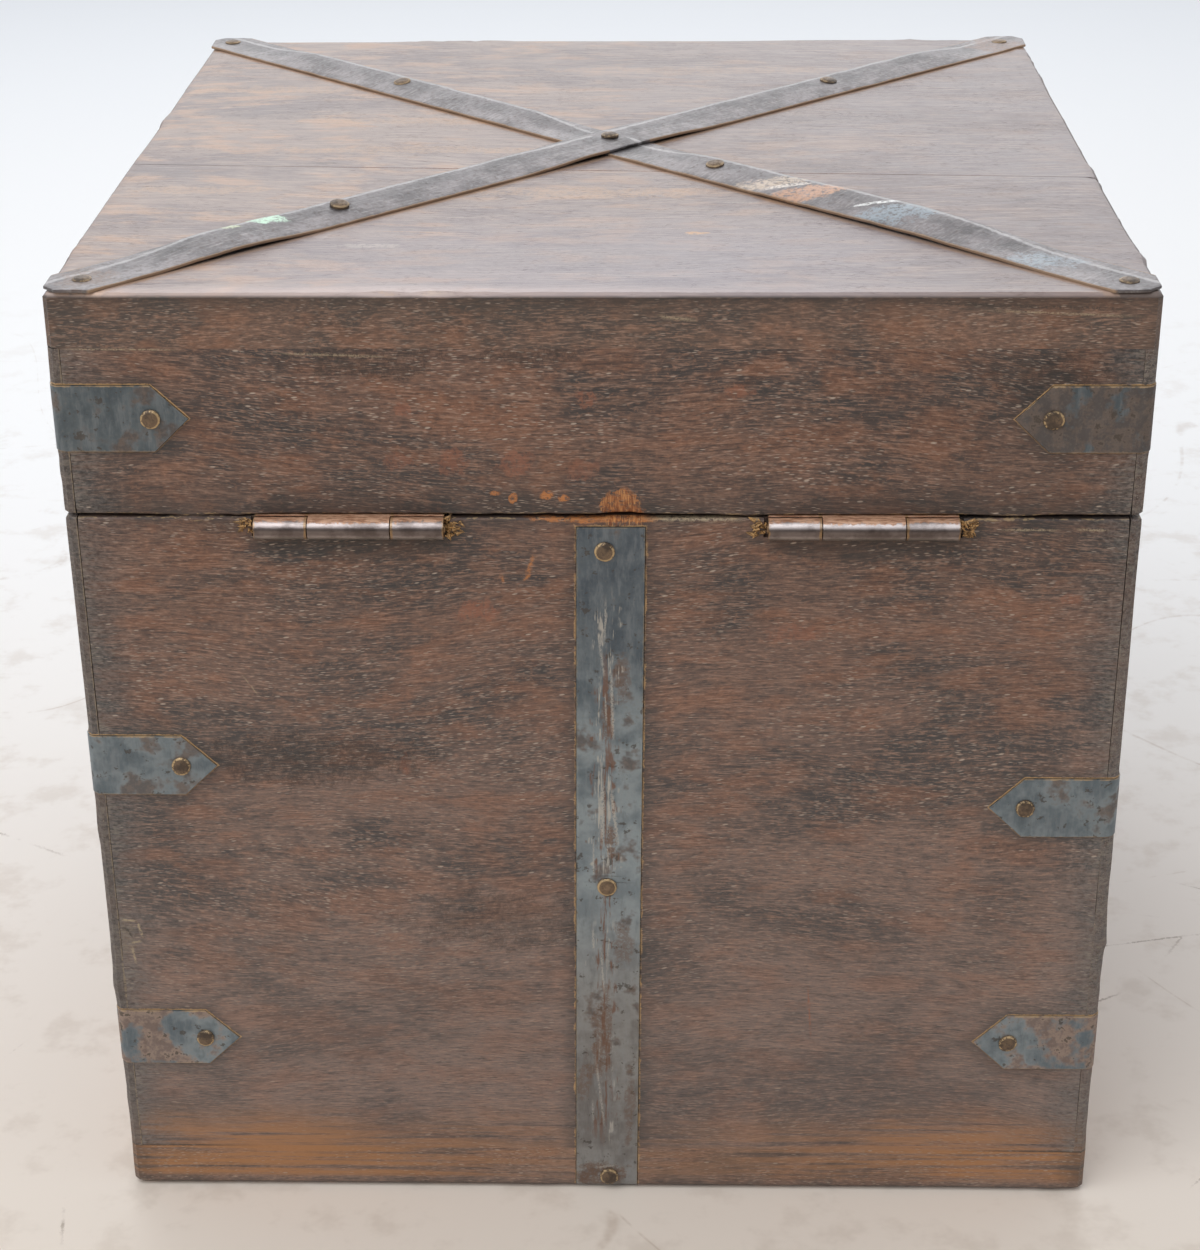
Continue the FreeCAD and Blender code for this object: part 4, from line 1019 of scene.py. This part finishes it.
# %% [markdown]
# ## Nails
# Every strap is held by hand-made nails. Their heads were hammered round on a bolster, with a low
# crown, and rubbing has polished the rim of each. One head is turned from a short cylinder, inset and
# raised, and roughened. How near the rim a point lies is stored as an attribute, so that the material
# can polish the rim. Then a copy goes on each nail of the CAD model, turned and tilted at random.

# %% Model three nails, and copy them to every place
NAIL_RADIUS, NAIL_HEIGHT, NAIL_DISC = 2.75, 1.2, 0.55
LEVEL_MIDDLE, LEVEL_END = 25, 45                 # of a crossed strap, from its middle and from the corner
STRAP_SLOPE = 9                                  # in degrees, between those
dice = random.Random(4)


def nail_pattern(seed):
    deselect()
    bpy.ops.mesh.primitive_cylinder_add(
        vertices=20, radius=NAIL_RADIUS * MM, depth=NAIL_DISC * MM, location=(0, 0, NAIL_DISC / 2 * MM)
    )
    nail = bpy.context.object
    edit(nail)
    choose_faces(nail, lambda face_middle, normal: normal.z > 0.9)
    for inwards, upwards in ((0.28, 0.22), (0.85, 0.28), (0.7, 0.05)):
        bpy.ops.mesh.inset(thickness=inwards * MM, depth=upwards * MM)
    choose_faces(nail, lambda face_middle, normal: normal.z < -0.9)
    bpy.ops.mesh.inset(thickness=1.7 * MM)
    bpy.ops.mesh.extrude_region_move(TRANSFORM_OT_translate={"value": (0, 0, -5 * MM)})
    choose_points(nail, lambda p: p.z > 0.1)
    bpy.ops.transform.vertex_random(offset=0.09 * MM, uniform=0.6, seed=seed)
    deselect()
    nail.data.transform(nail.matrix_world)
    nail.matrix_world = Matrix.Identity(4)
    rims = nail.data.attributes.new("rim", "FLOAT", "POINT")
    for point in nail.data.vertices:
        rims.data[point.index].value = point.co.xy.length / (NAIL_RADIUS * MM)
    return nail


def separate_solids(node):
    """Lowest and highest corner, in mm, of each separate solid of a CAD node."""
    mesh = bmesh.new()
    mesh.from_mesh(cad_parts[node].data)
    bmesh.ops.remove_doubles(mesh, verts=mesh.verts, dist=0.01 * MM)
    waiting, found = set(mesh.verts), []
    while waiting:
        reached, solid = [waiting.pop()], []
        while reached:
            point = reached.pop()
            solid.append(point.co / MM)
            linked = {edge.other_vert(point) for edge in point.link_edges} & waiting
            waiting -= linked
            reached.extend(linked)
        found.append([Vector([pick_end(p[n] for p in solid) for n in range(3)]) for pick_end in (min, max)])
    mesh.free()
    return sorted(found, key=lambda ends: tuple(ends[0]))


def slope_under(place):
    """How a crossed strap slopes where a nail goes in: level at its hammered ends and its middle."""
    if not LEVEL_MIDDLE < place.xy.length < math.hypot(half, half) - LEVEL_END:
        return Vector((0, 0, 0))
    across = Vector((-1, 1, 0)) if abs(place.x - place.y) < abs(place.x + place.y) else Vector((1, 1, 0))
    return across.normalized() * math.sin(math.radians(STRAP_SLOPE))


def drive_nails(node, body, sunk):
    """A copy of a nail in each place of a CAD node, driven deeper by sunk mm, joined into one piece."""
    driven = []
    for low, high in separate_solids(node):
        size, nail_middle = high - low, (low + high) / 2
        axis = max(range(3), key=lambda n: size[n])
        outward = Vector((0, 0, 0))
        outward[axis] = 1 if axis == Z or nail_middle[axis] > 0 else -1
        seat = nail_middle.copy()
        seat[axis] = (high if outward[axis] > 0 else low)[axis] - outward[axis] * (NAIL_HEIGHT + sunk)
        copy = bpy.data.objects.new("nail", dice.choice(patterns).data.copy())
        bpy.context.scene.collection.objects.link(copy)
        lean = Matrix.Rotation(math.radians(dice.uniform(-4, 4)), 4, "X")
        spin = Matrix.Rotation(dice.uniform(0, math.tau), 4, "Z")
        stretch = Matrix.Diagonal((dice.uniform(0.94, 1.06), dice.uniform(0.94, 1.04), 1, 1))
        if node == "cross_strap_nails":
            outward = outward + slope_under(nail_middle)
        aim = outward.to_track_quat("Z", "Y").to_matrix().to_4x4()
        copy.data.transform(Matrix.Translation(seat * MM) @ aim @ spin @ lean @ stretch)
        driven.append(copy)
    settle(join(driven, "hammered_" + node), finishes["nail"], body, node)
    print(len(driven), "nails for", node)


patterns = [nail_pattern(seed) for seed in (1, 2, 3)]
for node, body, sunk in (
    ("centre_strap_nails", "body", 0), ("body_corner_strap_nails", "body", 0),
    ("lid_corner_strap_nails", "lid", 0), ("cross_strap_nails", "lid", 0.85),
):
    drive_nails(node, body, sunk)
for pattern in patterns:
    bpy.data.objects.remove(pattern)

# %% [markdown]
# ## Torn fibres at the hinges
# The mortises of the hinges were chopped a little long, and torn chips of wood stand at the ends of
# each barrel. They are short and thick, each a four-sided cone that is laid along the board's grain
# and turned a little at random. Paint alone would leave a flat spot where the light should catch.

# %% Chips at the ends of the barrels
TORN_SPREAD = (3.6, 4.4)                         # of a tuft, along and up
chip_dice = random.Random(11)


def torn_wood(name):
    finish = Finish(name)
    streak = finish.noise(finish.x / 3, finish.y / 0.5, finish.z / 0.5, 3, 0.7)
    colour = finish.coats(paint(106, 80, 50), (streak.rise(0.42, 0.60), 200, 158, 104))
    return finish.surface(colour, 0.7, streak, 0.0001)


def torn_chip(foot, length, thickness, lean, lift):
    """A wedge from foot, in mm, towards +X or -X as length has its sign."""
    deselect()
    bpy.ops.mesh.primitive_cone_add(
        vertices=4, radius1=thickness * MM, radius2=0.04 * MM, depth=abs(length) * MM
    )
    piece = bpy.context.object
    lay = Matrix.Rotation(math.copysign(math.pi / 2, length), 4, "Y")
    tilt = Matrix.Rotation(lean, 4, "Y") @ Matrix.Rotation(lift, 4, "Z")
    ahead = Matrix.Translation((length / 2 * MM, 0, 0))
    piece.data.transform(Matrix.Translation(Vector(foot) * MM) @ tilt @ ahead @ lay)
    return piece


torn_chips = []
for hinge_middle in hinge_middles:
    for side, count in ((-1, 26), (1, 16)):
        for _ in range(count):
            along = chip_dice.random() * TORN_SPREAD[0]
            up = chip_dice.uniform(-1, 0.05) * TORN_SPREAD[1]
            foot = (hinge_middle + side * (hinge_half + 0.2 + along), half - 0.1, rim - 0.4 + up)
            length = side * chip_dice.choice((-1, 1, 1)) * chip_dice.uniform(1.2, 2.4)
            thickness, lean = chip_dice.uniform(0.5, 1), chip_dice.uniform(-1.1, 1.1)
            torn_chips.append(torn_chip(foot, length, thickness, lean, side * chip_dice.uniform(-0.2, 0.5)))
torn_fibres = join(torn_chips, "torn_fibres")
torn_fibres.data.materials.clear()
torn_fibres.data.materials.append(torn_wood("torn_wood"))
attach(torn_fibres, "body")
print(len(torn_chips), "chips of torn wood")

# %% [markdown]
# ## The crossed hollow straps
# Two straps of hollow section run over the lid from corner to corner. Their camber is hammered flat
# at the nailed ends and where they cross, and between the nails they have sprung up, so one edge
# stands off the wood. A grid with one row per 3 mm is the sheet: its columns are raised to the full
# camber, then every row is pressed to its own camber, lifted and tipped. Thickness comes last.

# %% Shape a hollow strap from a sheet
CROSS_THICKNESS = 0.8
CROSS_TIP = 1.7                                  # cut off the corner of a strap's end
CROSS_CAMBER, END_CAMBER, OVER_CAMBER = 2.3, 0.15, 1.05
CROSS_ROUNDNESS = 1.6                            # 1 would be a sharp ridge, 2 a round back
OVERHANG = -0.2                                  # of a strap's end past the lid's faces
ROWS, COLUMNS = 140, 16
corner_run = math.hypot(half, half)
hammered = clouds("hammered", 9)


def between(stations, distance, which):
    """The value at a distance between stations, eased from one to the next."""
    for near, far in zip(stations, stations[1:]):
        if near[0] <= distance <= far[0]:
            share = (distance - near[0]) / (far[0] - near[0])
            share = share * share * (3 - 2 * share)
            return near[which] + share * (far[which] - near[which])
    return stations[-1][which]


def hollow_strap(node, turn, ridge, crossing, sprung):
    """crossing is (lift, camber) in the middle; sprung has stations towards the end that has sprung up."""
    stations = (                                 # distance from the middle, lift, camber, tip in degrees
        (-corner_run - 5, 0, END_CAMBER, 0), (27 - corner_run, 0, END_CAMBER, 0),
        (55 - corner_run, 0, CROSS_CAMBER, 0), (-42, 0, CROSS_CAMBER, 0), (-13.5, *crossing, 0),
        (13.5, *crossing, 0), (42, 0, CROSS_CAMBER, 0), *sprung, (corner_run + 5, 0, END_CAMBER, 0),
    )
    run = corner_run + 4
    deselect()
    bpy.ops.mesh.primitive_grid_add(x_subdivisions=ROWS, y_subdivisions=COLUMNS, size=1)
    strap = bpy.context.object
    strap.name = "hammered_" + node
    edit(strap)
    bpy.ops.mesh.select_all(action="SELECT")
    bpy.ops.transform.resize(value=(2 * run * MM, CROSS_WIDTH * MM, 1), center_override=(0, 0, 0))
    for column in range(COLUMNS + 1):
        across = CROSS_WIDTH * (column / COLUMNS - 0.5)
        choose_points(strap, lambda p: abs(p.y - across) < 0.1)
        foot = math.copysign(CROSS_WIDTH / 2, across - ridge)
        rise = 1 - abs((across - ridge) / (foot - ridge)) ** CROSS_ROUNDNESS
        bpy.ops.transform.translate(value=(0, 0, rise * MM))
    for row in range(ROWS + 1):
        distance = run * (2 * row / ROWS - 1)
        lift, camber, tip = (between(stations, distance, which) for which in (1, 2, 3))
        choose_points(strap, lambda p: abs(p.x - distance) < 0.1)
        bpy.ops.transform.resize(value=(1, 1, camber), center_override=(0, 0, 0))
        if tip:
            low_edge = (0, -math.copysign(CROSS_WIDTH / 2, tip) * MM, 0)
            bpy.ops.transform.rotate(value=-math.radians(tip), orient_axis="X", center_override=low_edge)
        bpy.ops.transform.translate(value=(0, 0, (lift + CROSS_THICKNESS) * MM))
    bpy.ops.mesh.select_all(action="SELECT")
    bpy.ops.transform.rotate(value=-math.radians(turn), orient_axis="Z", center_override=(0, 0, 0))
    bpy.ops.transform.translate(value=(0, 0, top * MM))
    reach = half + OVERHANG
    for x, y in ((1, 0), (-1, 0), (0, 1), (0, -1)):
        saw((reach * x, reach * y, 0), (x, y, 0), clear_outer=True)
    for x, y in ((1, 1), (1, -1), (-1, 1), (-1, -1)):
        saw(((reach - CROSS_TIP) * x, (reach - CROSS_TIP) * y, 0), (x, y, 0), clear_outer=True)
    deselect()
    displace(strap, hammered, 0.5, 0.5)
    apply_modifier(strap, "SOLIDIFY", thickness=CROSS_THICKNESS * MM, offset=-1, use_even_offset=True)
    apply_modifier(
        strap, "BEVEL", width=0.22 * MM, segments=2, limit_method="ANGLE", angle_limit=math.radians(50)
    )
    settle(strap, finishes["cross"], "lid", node)
    print(strap.name, "mm:", [round(size / MM, 1) for size in strap.dimensions], len(strap.data.polygons), "faces")


over_lift = CROSS_THICKNESS + END_CAMBER + 0.15
hollow_strap("cross_strap_over", 45, -RIDGE_OFFSET, (over_lift, OVER_CAMBER), (
    (corner_run - 88, 0, CROSS_CAMBER, 0), (corner_run - 58, 0.35, CROSS_CAMBER * 0.9, 2.4),
    (corner_run - 24, 0, END_CAMBER, 0),
))
hollow_strap("cross_strap_under", 135, RIDGE_OFFSET, (0, END_CAMBER), (
    (corner_run - 83, 0.8, CROSS_CAMBER, 2.5), (corner_run - 27, 0, END_CAMBER, 0),
))

# %% [markdown]
# ## Light, floor and camera
# The chest stands on a pale studio floor that has been walked on for years, with a few faint
# scratches. The room is white: its strength is 1 only for what the camera and reflections see, and
# lower as a light, so that pale surfaces keep their tone. A dark curtain hangs at the hinge side.
# Without it, iron would mirror white on every side and look flat.

# %% Floor
deselect()
bpy.ops.mesh.primitive_plane_add(size=12, location=(0, 0, 0))
floor = bpy.context.object
floor.name = "floor"
paper = Finish("pale_floor")
near = (paper.x * paper.x + paper.y * paper.y).rise(900 ** 2, 200 ** 2)
mottle = paper.noise(paper.x / 26, paper.y / 26, 0, 4, 0.65)
bends = paper.noise(paper.x / 420, paper.y / 300, 4, 1)
more_bends = paper.noise(paper.x / 260, paper.y / 480, 9, 1)
lines, more_lines = (
    (abs(bend - level) + mottle * 0.002).rise(0.0024, 0.0014)
    for bend, level in ((bends, 0.5), (more_bends, 0.47))
)
floor_colour = paper.coats(
    paint(236, 222, 206),
    (paper.y.rise(420, -500), 250, 250, 250),
    (paper.y.rise(-500, -1700), 227, 230, 234),
    (mottle.rise(0.50, 0.68) * near * 0.28, 196, 180, 164),
    (lines.most(more_lines) * near * mottle.rise(0.44, 0.60) * 0.30, 170, 146, 124),
)
hairlines = []
floor_dice = random.Random(21)
for side in (-1, 1):
    for _ in range(13):
        start = (side * floor_dice.uniform(150, 300), floor_dice.uniform(-60, 240))
        heading, length = floor_dice.uniform(0, math.tau), floor_dice.uniform(25, 90)
        end = (start[0] + length * math.cos(heading), start[1] + length * math.sin(heading))
        hairlines.append((*start, *end, floor_dice.uniform(0.4, 0.7)))
for line in (
    *hairlines,
    (-158, 196, -250, 150, 0.9), (-176, 240, -300, 120, 0.6), (-210, 60, -214, 130, 0.8),
    (-190, 20, -240, -60, 0.6), (-60, 236, -150, 204, 0.6), (170, 210, 260, 90, 0.7),
    (230, 40, 238, 160, 0.6), (60, 240, 110, 214, 0.6), (190, -40, 330, -120, 0.8),
):
    drawn = scratch(paper, paper.x, paper.y, *line)
    floor_colour = paper.coats(floor_colour, (drawn * mottle.rise(0.40, 0.56) * 0.55, 136, 116, 98))
floor.data.materials.append(paper.surface(floor_colour, 0.6, mottle, 0.0001))
print(len(hairlines), "random hairlines on the floor")

# %% The room as a light
class Room(Finish):
    """The world, whose nodes are made in the same way as a material's."""

    def __init__(self, name):
        self.world = bpy.data.worlds.new(name)
        self.world.use_nodes = True
        self.tree = self.world.node_tree
        self.tree.nodes.clear()

    def background(self, colour, strength):
        return self.node("ShaderNodeBackground", {}, {"Color": colour, "Strength": strength})


room = Room("white_room")
white = paint(246, 248, 252)
towards = room.node("ShaderNodeTexCoord", output="Generated")
ahead = room.node("ShaderNodeSeparateXYZ", {}, {0: towards}, output="Y")
curtain = ahead.rise(0.15, 0.75) * ahead.other("Z").rise(0.75, 0.35)
as_light = room.background(room.mix(curtain * 0.7, white, paint(118, 116, 116)), 0.67)
as_mirrored = room.background(room.mix(curtain, white, paint(92, 90, 90)), 1)
as_seen = room.background(white, 1)
rays = room.node("ShaderNodeLightPath", output="Is Camera Ray")
mirrored = rays.other("Is Glossy Ray").most(rays.other("Is Transmission Ray"))
light = room.node("ShaderNodeMixShader", {}, {0: mirrored, 1: as_light, 2: as_mirrored})
either = room.node("ShaderNodeMixShader", {}, {0: rays, 1: light, 2: as_seen})
room.node("ShaderNodeOutputWorld", {}, {"Surface": either}, output=None)
bpy.context.scene.world = room.world


def soft_light(name, spot, aim, width, height, power):
    lamp = bpy.data.lights.new(name, "AREA")
    lamp.shape = "RECTANGLE"
    lamp.size, lamp.size_y, lamp.energy = width, height, power
    holder = bpy.data.objects.new(name, lamp)
    bpy.context.scene.collection.objects.link(holder)
    holder.location = spot
    holder.rotation_mode = "QUATERNION"
    holder.rotation_quaternion = (Vector(aim) - Vector(spot)).to_track_quat("-Z", "Y")


soft_light("key_light", (0.7, 0.9, 1.5), (0, 0, 0.15), 1.4, 1.4, 13)
soft_light("back_light", (0.1, -1.6, 1.1), (0, 0, 0.2), 2, 1.2, 10)
print("a white room with a dark curtain, and two soft lights")

# %% Camera
STANDPOINT = (-0.0159, 0.7723, 0.4927)
tilt, turn, roll = (math.radians(a) for a in (25.66, 1.50, -0.48))
level = Vector((math.cos(turn), math.sin(turn), 0))
away = Vector((-math.sin(turn), math.cos(turn), 0))
upright = Vector((0, 0, 1))
view = math.cos(tilt) * away - math.sin(tilt) * upright
over = math.sin(tilt) * away + math.cos(tilt) * upright
right = math.cos(roll) * level + math.sin(roll) * over
up = -math.sin(roll) * level + math.cos(roll) * over
turned = [Vector((-axis.x, -axis.y, axis.z)) for axis in (right, up, -view)]
lens = bpy.data.cameras.new("camera")
lens.sensor_fit = "VERTICAL"
lens.sensor_height = 36
lens.lens = 73.24
lens.clip_start = 0.05
camera = bpy.data.objects.new("camera", lens)
bpy.context.scene.collection.objects.link(camera)
camera.matrix_world = Matrix.Translation(STANDPOINT) @ Matrix(turned).transposed().to_4x4()
bpy.context.scene.camera = camera
bpy.context.scene.view_settings.view_transform = "Standard"
print("camera at", [round(n, 3) for n in camera.matrix_world.translation])
